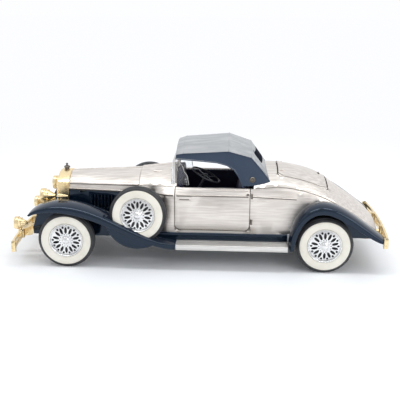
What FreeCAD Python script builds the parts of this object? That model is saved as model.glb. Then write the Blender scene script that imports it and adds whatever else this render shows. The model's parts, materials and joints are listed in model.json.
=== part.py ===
"""A 1930s-style open roadster as a diecast collector's model, about 242 mm long.

Frame: +X to the front of the car, +Y to its left side, +Z up. The origin is on the ground under the
middle of the car. All sizes are in millimetres.
"""
import FreeCAD, Part
import math
import os
import Sketcher

from FreeCAD import Placement, Rotation, Vector

doc = FreeCAD.newDocument("roadster")

# ---------------------------------------------------------------------------------------------
# Driving dimensions
# ---------------------------------------------------------------------------------------------
SIZES = [
    ("front_axle_x", 84.0, "front axle, forward of the middle"),
    ("rear_axle_x", -80.0, "rear axle, behind the middle"),
    ("bumper_reach", 121.0, "middle of the car to the face of either bumper"),
    ("half_track", 36.0, "middle of the car to the middle plane of a wheel"),
    ("tyre_radius", 18.0, "ground to axle"),
    ("tyre_width", 8.0, "sidewall to sidewall"),
    ("rim_radius", 10.9, "outside of the wire wheel's rim"),
    ("band_radius", 15.9, "outside of the white band"),
    ("band_depth", 0.9, "how far the white band is let into the tyre"),
    ("disc_radius", 9.7, "where the wheel's spoked disc meets its rim"),
    ("spoke_in", 4.6, "inner end of the long openings between spokes"),
    ("spoke_out", 8.3, "outer end of the long openings between spokes"),
    ("spoke_gap", 1.1, "width of the long openings between spokes"),
    ("hub_radius", 2.9, "hub cap"),
    ("axle_radius", 1.25, "steel axle wire"),
    ("running_clearance", 0.05, "radial clearance of anything that turns"),
    ("body_half_width", 30.0, "middle of the car to the door's face"),
    ("wall", 1.8, "thickness of the cast body"),
    ("panel_gap", 0.5, "gap round each door and round the boot lid"),
    ("door_front", 15.0, "front edge of the door"),
    ("door_rear", -32.4, "rear edge of the door"),
    ("door_bottom", 24.0, "lower edge of the door"),
    ("sill_height", 51.0, "top of the door"),
    ("door_inside", 26.0, "inner face of the door's skin"),
    ("lid_front", -50.4, "front edge of the boot lid"),
    ("lid_rear", -82.6, "rear edge of the boot lid"),
    ("lid_half_width", 19.0, "half the width of the boot lid"),
    ("pin_radius", 0.6, "hinge pins"),
    ("fender_edge", 41.5, "middle of the car to the outer edge of a fender"),
    ("fender_wall", 1.5, "thickness of the fenders"),
    ("board_top", 17.5, "top of the running board"),
    ("board_bottom", 14.0, "bottom of the running board"),
    ("board_front", 13.8, "front end of the running board"),
    ("board_rear", -56.8, "rear end of the running board"),
    ("sill_face", 30.7, "outer face of the dark sill"),
    ("floor_top", 21.9, "top of the chassis plate"),
    ("plate_thickness", 2.2, "chassis plate"),
    ("spare_x", 38.1, "centre of the spare wheel, forward"),
    ("spare_y", 34.6, "centre of the spare wheel, outward"),
    ("spare_z", 34.9, "centre of the spare wheel, up"),
    ("spare_tilt", 5.0, "degrees that the spare leans inward at its top"),
    ("well_radius", 21.6, "outside of the spare wheel's well"),
    ("headlamp_x", 104.4, "rim of the headlamp, forward"),
    ("headlamp_y", 17.0, "centre of the headlamp, outward"),
    ("headlamp_z", 41.2, "centre of the headlamp, up"),
    ("headlamp_radius", 4.7, "rim of the headlamp"),
    ("driving_x", 120.6, "rim of the driving lamp, forward"),
    ("driving_y", 25.0, "centre of the driving lamp, outward"),
    ("driving_z", 24.4, "centre of the driving lamp, up"),
    ("driving_radius", 4.2, "rim of the driving lamp"),
    ("bumper_bow", 384.0, "radius of the bumper's bow, seen from above"),
    ("bumper_half_width", 42.6, "middle of the car to the end of a bumper"),
    ("blade_height", 2.7, "each of the bumper's two blades"),
    ("blade_gap", 0.9, "gap between the bumper's blades"),
    ("front_blade_bottom", 10.6, "underside of the front bumper"),
    ("rear_blade_bottom", 18.2, "underside of the rear bumper"),
    ("steering_radius", 10.3, "steering wheel"),
    ("steering_tilt", 27.0, "degrees that the steering wheel's plane rises towards the front"),
    ("plinth_hole_radius", 1.6, "holes for display-plinth screws"),
    ("plinth_hole_spacing", 60.0, "distance between the plinth holes"),
]

sheet = doc.addObject("Spreadsheet::Sheet", "Sizes")
for row, (alias, value, note) in enumerate(SIZES, start=1):
    sheet.set(f"A{row}", note)
    sheet.set(f"B{row}", str(value))
    sheet.setAlias(f"B{row}", alias)
doc.recompute()


def size(alias):
    """A driving dimension's number."""
    return float(getattr(sheet, alias))


def number(formula):
    """The number that a sheet formula, or a plain number, comes to."""
    if isinstance(formula, str):
        result = sheet.evalExpression(formula)
        return float(getattr(result, "Value", result))
    return float(formula)


# ---------------------------------------------------------------------------------------------
# Helpers: each makes one kind of document object
# ---------------------------------------------------------------------------------------------
parts = []
X_AXIS = Vector(1, 0, 0)
Y_AXIS = Vector(0, 1, 0)
Z_AXIS = Vector(0, 0, 1)
ALONG_X = Rotation(Y_AXIS, 90)
HALF_TURN = Rotation(Z_AXIS, 180)
FRONT_AXLE_X = size("front_axle_x")
REAR_AXLE_X = size("rear_axle_x")
TYRE_RADIUS = size("tyre_radius")


def keep(thing, label):
    """Marks an object as one of the model's sub-parts."""
    thing.Label = label
    parts.append(thing)
    return thing


def bind(thing, **formulas):
    """Binds an object's properties to formulas of the sheet."""
    for name, formula in formulas.items():
        if isinstance(formula, str):
            thing.setExpression(name, formula)
        else:
            setattr(thing, name, formula)
    return thing


def primitive(kind, place, turn=None, **formulas):
    """A Part primitive at a place, its sizes bound to the sheet."""
    thing = doc.addObject(f"Part::{kind}", kind)
    bind(thing, **formulas)
    thing.Placement = Placement(Vector(*place), turn or Rotation())
    return thing


def rod(start, direction, radius, length):
    """A round rod from a point along a direction."""
    turn = Rotation(Z_AXIS, Vector(*direction))
    return primitive("Cylinder", start, turn, Radius=radius, Height=length)


def block(low, high):
    """A box between two corners, of plain numbers."""
    sides = [b - a for a, b in zip(low, high)]
    return primitive("Box", low, Length=sides[0], Width=sides[1], Height=sides[2])


def joined(*pieces):
    fuse = doc.addObject("Part::MultiFuse", "Fuse")
    fuse.Shapes = list(pieces)
    fuse.Refine = True
    return fuse


def grouped(*pieces):
    """Separate solids that share one node."""
    group = doc.addObject("Part::Compound", "Group")
    group.Links = list(pieces)
    return group


def cut(base, *tools):
    for tool in tools:
        result = doc.addObject("Part::Cut", "Cut")
        result.Base = base
        result.Tool = tool
        base = result
    return base


def shared(one, other):
    common = doc.addObject("Part::MultiCommon", "Common")
    common.Shapes = [one, other]
    return common


def largest(shape):
    """The main solid of a shape, without crumbs that a cut left behind."""
    return max(shape.Solids, key=lambda piece: piece.Volume)


def formed(name, shape):
    """A document object for a shape that is lofted or trimmed in code."""
    thing = doc.addObject("Part::Feature", name)
    thing.Shape = shape
    return thing


def shaped(label, shape):
    """A sub-part of one solid whose surfaces are lofted or trimmed in code."""
    return keep(formed(label, largest(shape)), label)


def origin_part(body, role):
    return next(item for item in body.Origin.OriginFeatures if item.Role == role)


def outline(body, plane, corners):
    """A closed straight-sided sketch whose corners are held by formulas of the sheet."""
    sketch = body.newObject("Sketcher::SketchObject", "Outline")
    sketch.AttachmentSupport = (origin_part(body, plane), [""])
    sketch.MapMode = "FlatFace"
    spots = [Vector(number(a), number(b), 0) for a, b in corners]
    count = len(spots)
    for index, spot in enumerate(spots):
        sketch.addGeometry(Part.LineSegment(spot, spots[(index + 1) % count]))
    for index in range(count):
        sketch.addConstraint(Sketcher.Constraint("Coincident", index, 2, (index + 1) % count, 1))
    for index, (across, up) in enumerate(corners):
        for kind, formula in (("DistanceX", across), ("DistanceY", up)):
            held = sketch.addConstraint(Sketcher.Constraint(kind, -1, 1, index, 1, number(formula)))
            if isinstance(formula, str):
                sketch.setExpression(f"Constraints[{held}]", formula)
    return sketch


def turned(label, corners, place, turn=None):
    """A body turned about its own Y axis from an outline of (along, radius) corners."""
    body = doc.addObject("PartDesign::Body", "Turned")
    sketch = outline(body, "YZ_Plane", corners)
    spin = body.newObject("PartDesign::Revolution", "Revolution")
    spin.Profile = sketch
    spin.ReferenceAxis = (sketch, ["H_Axis"])
    spin.Angle = 360
    body.Placement = Placement(Vector(*place), turn or Rotation())
    doc.recompute()
    if label:
        keep(body, label)
    return body


def plate(label, corners, bottom, thickness):
    """A flat plate from an outline seen from above."""
    body = doc.addObject("PartDesign::Body", "Plate")
    sketch = outline(body, "XY_Plane", corners)
    pad = body.newObject("PartDesign::Pad", "Pad")
    pad.Profile = sketch
    bind(pad, Length=thickness)
    body.Placement = Placement(Vector(0, 0, number(bottom)), Rotation())
    return keep(body, label) if label else body


def side_profile(label, corners, inner, thickness):
    """A piece cut to an outline seen from the left, from y = inner outward to the left."""
    body = doc.addObject("PartDesign::Body", "Side")
    sketch = outline(body, "XZ_Plane", corners)
    pad = body.newObject("PartDesign::Pad", "Pad")
    pad.Profile = sketch
    pad.Reversed = True
    bind(pad, Length=thickness)
    body.Placement = Placement(Vector(0, number(inner), 0), Rotation())
    return keep(body, label) if label else body


def mirrored(shape):
    """The same shape on the other side of the car."""
    return shape.mirror(Vector(0, 0, 0), Y_AXIS)


def both_sides(name, left):
    """Keeps a left-hand shape and its mirror image as two sub-parts."""
    shaped(f"{name}_left", left)
    shaped(f"{name}_right", mirrored(left))


# ---------------------------------------------------------------------------------------------
# Body surfaces: stations from front to rear, each
# (x, bottom, half width, height where the side ends, shoulder half width, shoulder height, crown)
# ---------------------------------------------------------------------------------------------
BODY = [
    (39.0, 22.0, 21.2, 46.4, 20.4, 51.0, 57.9),
    (31.0, 22.0, 22.6, 46.5, 21.8, 51.2, 58.9),
    (26.5, 22.0, 25.0, 46.6, 22.8, 51.3, 59.4),
    (22.0, 22.0, 29.0, 46.8, 24.0, 51.4, 59.9),
    (17.0, 22.0, 30.0, 47.0, 25.6, 51.6, 60.4),
    (2.0, 22.0, 30.0, 47.2, 27.4, 51.8, 61.0),
    (-18.0, 22.0, 30.0, 47.2, 27.6, 51.6, 61.6),
    (-38.0, 22.0, 30.0, 47.2, 27.6, 52.0, 62.2),
    (-48.0, 22.0, 29.7, 47.2, 27.2, 53.4, 62.0),
    (-60.0, 22.0, 29.2, 46.6, 26.8, 52.2, 60.6),
    (-73.0, 22.0, 28.6, 43.6, 26.4, 48.6, 57.4),
    (-86.0, 21.0, 28.0, 37.6, 26.0, 43.0, 50.0),
    (-98.0, 19.6, 27.0, 30.6, 25.0, 35.4, 41.7),
    (-108.0, 18.8, 25.6, 24.6, 23.6, 28.8, 34.2),
    (-115.0, 18.4, 24.0, 21.2, 22.0, 23.6, 27.0),
]
BONNET = [
    (86.4, 24.0, 14.2, 45.4, 13.2, 49.4, 54.9),
    (64.0, 24.0, 17.4, 45.8, 16.6, 50.1, 56.0),
    (39.4, 24.0, 20.9, 46.2, 20.1, 50.8, 57.2),
]


def section(station, inset=0.0, drop=0.0):
    """The closed section of the body at one station; inset makes it smaller all round but the bottom."""
    x, bottom, width, side_top, shoulder, shoulder_top, crown = station
    low = bottom - drop
    width = width - inset
    shoulder = shoulder - inset
    shoulder_top = shoulder_top - 0.7 * inset
    crown = crown - inset
    spots = [
        Vector(x, -width, low),
        Vector(x, width, low),
        Vector(x, width, side_top),
        Vector(x, shoulder, shoulder_top),
        Vector(x, 0, crown),
        Vector(x, -shoulder, shoulder_top),
        Vector(x, -width, side_top),
    ]
    edges = [
        Part.makeLine(spots[0], spots[1]),
        Part.makeLine(spots[1], spots[2]),
        Part.makeLine(spots[2], spots[3]),
        Part.Arc(spots[3], spots[4], spots[5]).toShape(),
        Part.makeLine(spots[5], spots[6]),
        Part.makeLine(spots[6], spots[0]),
    ]
    return Part.Wire(edges)


def station_at(stations, x):
    """A station between two of the listed ones, or beyond an end."""
    pairs = list(zip(stations, stations[1:]))
    for ahead, behind in pairs:
        if x >= behind[0]:
            break
    share = (x - ahead[0]) / (behind[0] - ahead[0])
    return tuple(a + share * (b - a) for a, b in zip(ahead, behind))


def lofted(wires, ruled=False):
    return Part.makeLoft(wires, True, ruled)


def outer_body(stations):
    return lofted([section(station) for station in stations])


def inner_body(stations, wall):
    """The hollow inside a body, open underneath."""
    front = station_at(stations, stations[0][0] - wall)
    rear = station_at(stations, stations[-1][0] + wall)
    middle = [s for s in stations if rear[0] + 1 < s[0] < front[0] - 1]
    return lofted([section(s, wall, wall * 3) for s in [front] + middle + [rear]])


def solid_box(low, high):
    sides = [b - a for a, b in zip(low, high)]
    return Part.makeBox(sides[0], sides[1], sides[2], Vector(*low))


def rounded_box(low, high, radius, along):
    """A box whose edges along one axis (0, 1 or 2) are rounded."""
    box = solid_box(low, high)
    edges = []
    for edge in box.Edges:
        start, end = edge.Vertexes[0].Point, edge.Vertexes[-1].Point
        if abs((end - start)[along]) > 1e-6:
            edges.append(edge)
    return box.makeFillet(radius, edges)


WALL = size("wall")
GAP = size("panel_gap")
board_rear = size("board_rear")
body_outer = outer_body(BODY)
body_inner = inner_body(BODY, WALL)
body_half = size("body_half_width")
cabin_front = 14.4
cabin_rear = -35.0
cabin_half = 25.6
door_front, door_rear = size("door_front"), size("door_rear")
door_bottom, sill = size("door_bottom"), size("sill_height")
door_inside = size("door_inside")
lid_front, lid_rear, lid_half = size("lid_front"), size("lid_rear"), size("lid_half_width")
DOOR_CORNER = 3.5
BONNET_SPLIT = 45.2
LOUVRES = 12
LOUVRE_FRONT = 69.5
LOUVRE_STEP = 2.3
LOUVRE_LOW, LOUVRE_HIGH = 33.5, 42.5
SCREW_X = (31.0, -93.0)
SCREW_Y = 10.0


def door_prism(gap):
    """The space of the left door, grown by a gap all round."""
    low = (door_rear - gap, door_inside - 3 * gap, door_bottom - gap)
    high = (door_front + gap, body_half + 5, sill + 20)
    return rounded_box(low, high, DOOR_CORNER, 1)


def lid_prism(gap):
    low = (lid_rear - gap, -lid_half - gap, 30)
    high = (lid_front + gap, lid_half + gap, 80)
    return rounded_box(low, high, 3.0, 2)


def screw_posts():
    """Posts that hang from the body's roof and take the assembly screws."""
    posts = []
    for x in SCREW_X:
        for y in (-SCREW_Y, SCREW_Y):
            post = Part.makeCylinder(2.6, 45, Vector(x, y, size("floor_top")))
            hole = Part.makeCylinder(1.05, 9, Vector(x, y, size("floor_top")))
            posts.append(post.common(body_outer).cut(hole))
    return posts


def make_body_shell():
    shell = body_outer.cut(body_inner)
    opening = rounded_box((cabin_rear, -cabin_half, 40), (cabin_front, cabin_half, 90), 5.0, 2)
    above_sill = solid_box((cabin_rear, -40, sill), (cabin_front, 40, 90))
    shell = shell.cut(opening).cut(above_sill)
    shell = shell.cut(door_prism(GAP)).cut(mirrored(door_prism(GAP))).cut(lid_prism(GAP))
    for post in screw_posts():
        shell = shell.fuse(post)
    shaped("body_shell", shell.removeSplitter())


def make_doors():
    prism = door_prism(0)
    skin = body_outer.common(prism)
    skin = skin.cut(solid_box((-60, 0, sill), (40, 60, 90)))
    grip = rounded_box((4.4, 28, 44.5), (13.4, body_half + 0.9, 46.1), 0.7, 1)
    grip_room = body_outer.common(solid_box((4, 27, 40), (14, 40, 50)))
    skin = skin.fuse(grip.cut(grip_room)).removeSplitter()
    both_sides("door", skin)


def make_door_cards():
    """Dark trim pads on the inside of the doors."""
    card = rounded_box((door_rear + 1.8, 24.0, 27.0), (door_front - 2.0, door_inside, 50.4), 2.0, 1)
    both_sides("door_card", card)


def skin_height(x, y):
    """How high the body's outer skin is above a point of the ground."""
    plumb = Part.makeLine(Vector(x, y, 0), Vector(x, y, 100))
    return body_outer.common(plumb).BoundBox.ZMax


def make_boot_lid():
    lid = body_outer.common(lid_prism(0)).cut(body_inner)
    shaped("boot_lid", lid)
    x = lid_rear + 5.5
    height = skin_height(x, 0) + 1.3
    grip = Part.makeCylinder(0.7, 5.0, Vector(x, -2.5, height), Y_AXIS)
    foot = Part.makeCylinder(0.6, 4, Vector(x, 0, height - 4), Z_AXIS)
    handle = grip.fuse(foot).cut(body_outer).removeSplitter()
    shaped("boot_handle", handle)


def make_bonnet():
    """The cover between radiator and cowl, and its two side panels with a row of upright louvres."""
    outer = outer_body(BONNET)
    shell = outer.cut(lofted([section(s, WALL, 5) for s in BONNET]))
    under_moulding = solid_box((0, -40, 0), (100, 40, BONNET_SPLIT))
    shaped("bonnet", shell.cut(under_moulding))
    slots = []
    for index in range(LOUVRES):
        x = LOUVRE_FRONT - LOUVRE_STEP * index
        slots.append(solid_box((x, 12, LOUVRE_LOW), (x + 0.9, 26, LOUVRE_HIGH)))
    left = shell.common(under_moulding).common(solid_box((0, 0, 0), (100, 40, 60)))
    left = largest(left.cut(Part.makeCompound(slots)))
    keep(grouped(formed("bonnet_side", left), formed("bonnet_side", mirrored(left))), "bonnet_sides")


# ---------------------------------------------------------------------------------------------
# Fenders: arched skins lofted through sections, each of (inner, crown, lip) points in side view
# ---------------------------------------------------------------------------------------------
FENDER_EDGE = size("fender_edge")
FENDER_WALL = size("fender_wall")
# each row: inner y, then the crown's x and z, and how far the inner edge and the lip drop below it
FRONT_FENDER = [
    (22.0, 107.4, 35.0, 1.0, 0.9),
    (22.0, 102.8, 38.6, 1.6, 1.7),
    (22.0, 96.0, 41.4, 2.2, 3.2),
    (22.0, 86.0, 42.6, 2.6, 4.0),
    (22.0, 76.0, 41.2, 2.8, 4.2),
    (22.0, 66.0, 38.2, 2.8, 4.2),
    (22.6, 56.0, 33.4, 2.4, 3.6),
    (23.4, 46.0, 27.8, 2.0, 3.3),
    (25.5, 36.0, 22.4, 1.6, 2.9),
    (29.0, 26.0, 18.4, 1.3, 2.8),
    (30.8, 13.8, 16.9, 1.0, 2.9),
]
REAR_FENDER = [
    (26.5, -58.6, 14.2, 0.2, 0.5),
    (26.5, -58.4, 24.0, 0.3, 1.1),
    (26.5, -61.0, 33.6, 0.4, 2.4),
    (26.5, -67.0, 41.4, 0.5, 3.6),
    (26.5, -76.0, 45.6, 0.6, 4.3),
    (26.5, -86.4, 43.6, 0.6, 3.6),
    (26.5, -96.8, 37.6, 0.6, 3.1),
    (25.5, -107.2, 30.0, 0.6, 2.7),
    (24.2, -117.0, 22.6, 0.6, 1.6),
]


def fender_section(row, square):
    """One closed section in the plane of the crown's normal; square points towards the wheel."""
    inner_y, x, z, inner_drop, lip_drop = row
    crown_y = inner_y + 0.55 * (FENDER_EDGE - inner_y)
    spots = [
        Vector(x, inner_y, z) + square * inner_drop,
        Vector(x, crown_y, z),
        Vector(x, FENDER_EDGE, z) + square * lip_drop,
    ]
    step = square * FENDER_WALL
    under = [spots[0] + step, spots[1] + step, spots[2] + Vector(0, -FENDER_WALL, 0)]
    edges = [
        Part.Arc(spots[0], spots[1], spots[2]).toShape(),
        Part.makeLine(spots[2], under[2]),
        Part.Arc(under[2], under[1], under[0]).toShape(),
        Part.makeLine(under[0], spots[0]),
    ]
    return Part.Wire(edges)


def inward_steps(rows):
    """For each row, the unit step from the skin towards the wheel, square to the crown's line."""
    steps = []
    for index in range(len(rows)):
        before = rows[max(index - 1, 0)]
        after = rows[min(index + 1, len(rows) - 1)]
        run = Vector(after[1] - before[1], 0, after[2] - before[2])
        run.normalize()
        steps.append(Vector(-run.z, 0, run.x))
    return steps


def fender_skin(rows):
    steps = inward_steps(rows)
    return lofted([fender_section(row, step) for row, step in zip(rows, steps)])


def side_sheet(points, inner, outer):
    """A flat sheet cut to an outline in side view, between two distances from the middle."""
    wire = Part.makePolygon([Vector(x, inner, z) for x, z in points + points[:1]])
    return Part.Face(wire).extrude(Vector(0, outer - inner, 0))


def spare_place():
    centre = Vector(size("spare_x"), size("spare_y"), size("spare_z"))
    return Placement(centre, Rotation(X_AXIS, size("spare_tilt")))


def spare_cylinder(radius, inner, outer):
    """A cylinder on the spare wheel's axis, between two distances from the wheel's middle plane."""
    shape = Part.makeCylinder(radius, outer - inner, Vector(0, inner, 0), Y_AXIS)
    shape.Placement = spare_place()
    return shape


def make_front_fenders():
    skin = fender_skin(FRONT_FENDER)
    valance_outline = [(110.4, 15.0), (110.4, 20.5), (105.6, 33.6), (96.0, 38.6), (86.0, 39.4)]
    valance_outline += [(76.0, 37.8), (66.0, 34.8), (57.4, 30.8), (57.4, 15.0)]
    valance = side_sheet(valance_outline, 21.4, 22.8)
    axle_slot = Part.makeCylinder(3.6, 6, Vector(FRONT_AXLE_X, 20, TYRE_RADIUS), Y_AXIS)
    valance = valance.cut(axle_slot)
    radius = size("well_radius")
    well = spare_cylinder(radius, -5.6, 5.6)
    room = spare_cylinder(radius - 1.3, -4.4, 4.8)
    crown_line = [(row[1], row[2]) for row in FRONT_FENDER[4:]]
    above_fender = side_sheet([(80.0, 90.0)] + crown_line + [(10.0, 90.0)], 15, 60)
    well = well.cut(room).cut(above_fender)
    fender = skin.fuse(valance).cut(room).fuse(well)
    fender = fender.cut(body_outer).removeSplitter()
    both_sides("front_fender", fender)
    return fender


def make_rear_fenders():
    skin = fender_skin(REAR_FENDER)
    liner_outline = [(-59.2, 15.0), (-59.2, 24.0), (-61.7, 33.6), (-67.5, 41.1), (-76.0, 45.2)]
    liner_outline += [(-86.0, 43.6), (-96.0, 37.4), (-105.0, 30.4), (-110.0, 26.0), (-110.0, 21.0)]
    liner_outline += [(-98.0, 21.0), (-98.0, 15.0)]
    liner = side_sheet(liner_outline, 28.0, 30.6)
    axle_slot = Part.makeCylinder(3.6, 6, Vector(REAR_AXLE_X, 26, TYRE_RADIUS), Y_AXIS)
    fender = skin.fuse(liner.cut(axle_slot)).cut(body_outer).removeSplitter()
    both_sides("rear_fender", fender)
    return fender


def make_sills(front_fender, rear_fender):
    """The dark aprons between the body and the running boards."""
    face = size("sill_face")
    sill_box = rounded_box((board_rear - 0.2, 22.6, 15.2), (30.0, face, 22.0), 1.2, 0)
    nose = rounded_box((board_rear - 20, 10, 15.2), (30.0, face, 22.0), 5.5, 2)
    sill_box = sill_box.common(nose)
    sill_box = sill_box.cut(front_fender).cut(rear_fender).cut(body_outer)
    left = largest(sill_box)
    keep(grouped(formed("sill", left), formed("sill", mirrored(left))), "sills")




def board_section():
    """The running board's end outline: flat below, seven lengthwise grooves on top."""
    rows = [("Sizes.sill_face + 0.05", "Sizes.board_bottom"), ("Sizes.fender_edge", "Sizes.board_bottom")]
    rows.append(("Sizes.fender_edge", "Sizes.board_top"))
    ridge = 1.2
    for index in range(7):
        outer = f"Sizes.fender_edge - {0.8 + ridge * index:.2f}"
        inner = f"Sizes.fender_edge - {0.8 + ridge * (index + 0.5):.2f}"
        rows += [(outer, "Sizes.board_top"), (outer, "Sizes.board_top - 0.4")]
        rows += [(inner, "Sizes.board_top - 0.4"), (inner, "Sizes.board_top")]
    rows.append(("Sizes.sill_face + 0.05", "Sizes.board_top"))
    return rows


def make_running_boards():
    boards = []
    for side in (1, -1):
        body = doc.addObject("PartDesign::Body", "Board")
        pad = body.newObject("PartDesign::Pad", "Pad")
        pad.Profile = outline(body, "YZ_Plane", board_section())
        bind(pad, Length="Sizes.board_front - Sizes.board_rear")
        start = board_rear if side > 0 else size("board_front")
        turn = Rotation() if side > 0 else HALF_TURN
        body.Placement = Placement(Vector(start, 0, 0), turn)
        boards.append(body)
    keep(grouped(*boards), "running_boards")


# ---------------------------------------------------------------------------------------------
# Soft top and windscreen
# ---------------------------------------------------------------------------------------------
# each row: x, height of the side crease, height of the centre line
TOP = [
    (14.8, 71.6, 76.4),
    (10.0, 72.4, 78.2),
    (-18.6, 74.2, 80.8),
    (-33.0, 70.4, 75.8),
    (-39.4, 62.9, 67.0),
    (-45.6, 54.6, 58.0),
]
RAIL = [(14.8, 68.9), (-0.7, 67.8), (-11.4, 66.9), (-17.7, 65.3), (-22.1, 62.6), (-25.2, 58.2), (-28.1, 50.9)]
TOP_CREASE = 24.2
TOP_RAIL = 27.2
TOP_WALL = 1.5


def top_section(row, inset, foot):
    x, crease, crown = row
    half = TOP_CREASE - inset
    rail = TOP_RAIL - inset
    spots = [Vector(x, -rail, foot), Vector(x, rail, foot), Vector(x, half, crease - inset)]
    spots += [Vector(x, 0, crown - inset), Vector(x, -half, crease - inset)]
    edges = [
        Part.makeLine(spots[0], spots[1]),
        Part.makeLine(spots[1], spots[2]),
        Part.Arc(spots[2], spots[3], spots[4]).toShape(),
        Part.makeLine(spots[4], spots[0]),
    ]
    return Part.Wire(edges)


def make_soft_top():
    """The raised hood: a creased shell, open in front and beside the seat, resting on the rear deck."""
    foot = 46.0
    outer = lofted([top_section(row, 0, foot) for row in TOP], True)
    hollow_rows = [(16.0,) + TOP[0][1:]] + TOP[1:3]
    hollow_rows += [(x + TOP_WALL, crease, crown) for x, crease, crown in TOP[3:]]
    inner = lofted([top_section(row, TOP_WALL, foot - 4) for row in hollow_rows], True)
    side_opening = side_sheet([(20.0, 40.0), (20.0, RAIL[0][1])] + RAIL + [(-28.1, 40.0)], -60, 60)
    window = rounded_box((-50, -15, 64.9), (-30, 15, 71.6), 1.5, 0)
    top = outer.cut(inner).cut(side_opening).cut(window).cut(body_outer)
    top = top.cut(solid_box((-60, -40, 40), (40, 40, sill + 0.05)))
    shaped("soft_top", top)
    pane = outer.cut(inner).common(rounded_box((-50, -14.95, 64.95), (-30, 14.95, 71.55), 1.45, 0))
    shaped("rear_window", pane)
    buttons = []
    for side in (1, -1):
        buttons.append(rod((-33.9, side * (TOP_RAIL - 1.0), 56.6), (0, side, 0), 1.6, 1.4))
    hull = formed("top_hull", outer)
    keep(grouped(*[cut(button, hull) for button in buttons]), "landau_buttons")


def make_windscreen():
    """An upright frame that follows the cowl's crown, and its clear pane."""
    x = size("door_front") + 0.2
    thickness = 1.5
    foot, arch, top = 51.9, 60.6, 68.7
    half, bar = 24.6, 1.5

    def loop(edge):
        spots = [Vector(x, -half + edge, foot + edge), Vector(x, 0, arch + edge)]
        spots += [Vector(x, half - edge, foot + edge), Vector(x, half - edge, top - edge)]
        spots.append(Vector(x, -half + edge, top - edge))
        arc = Part.Arc(spots[0], spots[1], spots[2]).toShape()
        lines = [Part.makeLine(a, b) for a, b in zip(spots[2:], spots[3:] + spots[:1])]
        return Part.Face(Part.Wire([arc] + lines))

    outer = loop(0).extrude(Vector(thickness, 0, 0))
    inner = loop(bar).extrude(Vector(thickness, 0, 0))
    shaped("windscreen_frame", outer.cut(inner).cut(body_outer))
    pane = loop(bar).extrude(Vector(0.6, 0, 0))
    pane.translate(Vector((thickness - 0.6) / 2, 0, 0))
    shaped("windscreen_glass", pane)


# ---------------------------------------------------------------------------------------------
# Cabin
# ---------------------------------------------------------------------------------------------
def make_cabin():
    floor, wall = 23.0, 1.2
    rear, front, half = -34.6, 14.0, 23.4
    tub = cut(
        block((rear, -half, floor), (front, half, 31.0)),
        block((rear + wall, -half + wall, floor + wall), (front - wall, half - wall, 40)),
    )
    bulkhead = block((rear, -half, 30), (rear + wall, half, 49.0))
    boot = cut(
        block((lid_rear + 0.5, -17.5, 32), (lid_front - 0.5, 17.5, 40)),
        block((lid_rear + 1.7, -16.3, 33.2), (lid_front - 1.7, 16.3, 45)),
    )
    link = block((lid_front - 0.6, -6, 32), (rear + 0.1, 6, 33.2))
    keep(joined(tub, bulkhead, boot, link), "cabin_tub")
    seat_corners = [(-32.9, 24.4), (-10.0, 24.4), (-8.4, 26.5), (-8.4, 32.6), (-10.4, 34.6)]
    seat_corners += [(-24.6, 33.4), (-27.6, 48.6), (-29.2, 49.8), (-32.6, 49.8), (-32.9, 48.0)]
    side_profile("seat", seat_corners, -21.5, 43.0)
    dash = rounded_box((11.4, -23.6, 44.5), (14.0, 23.6, 58.5), 2.0, 0)
    dash_shape = dash.common(body_outer)
    dash_shape = dash_shape.common(inner_body(BODY, 0.6))
    gauges = [Part.makeCylinder(1.8, 0.5, Vector(10.9, y, 50.5), X_AXIS) for y in (-5.5, 0, 5.5)]
    column_room = steering_shape_room()
    shaped("dashboard", dash_shape.fuse(gauges).cut(column_room).removeSplitter())


STEERING_CENTRE = Vector(-3.9, 12.0, 55.9)


def steering_axis():
    tilt = math.radians(size("steering_tilt"))
    return Vector(math.sin(tilt), 0, -math.cos(tilt))


def steering_shape_room():
    return Part.makeCylinder(1.5, 60, STEERING_CENTRE, steering_axis())


def make_steering():
    down = steering_axis()
    turn = Rotation(Z_AXIS, down)
    centre = tuple(STEERING_CENTRE)
    rim = primitive("Torus", centre, turn, Radius1="Sizes.steering_radius - 0.6", Radius2=0.6)
    hub = rod(tuple(STEERING_CENTRE - down * 0.5), tuple(down), 1.4, 2.2)
    spokes = []
    for index in range(4):
        way = turn.multVec(Rotation(Z_AXIS, 45 + 90 * index).multVec(X_AXIS))
        spokes.append(rod(centre, tuple(way), 0.4, "Sizes.steering_radius - 0.6"))
    keep(joined(rim, hub, *spokes), "steering_wheel")
    foot = STEERING_CENTRE + down * 1.7
    length = (foot.z - 24.25) / abs(down.z)
    column = Part.makeCylinder(1.0, length + 3, foot, down)
    column = column.cut(solid_box((-60, -40, 0), (60, 40, 24.25)))
    column = column.cut(solid_box((12.75, 0, 0), (30, 40, 31.1)))
    shaped("steering_column", column)


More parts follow.
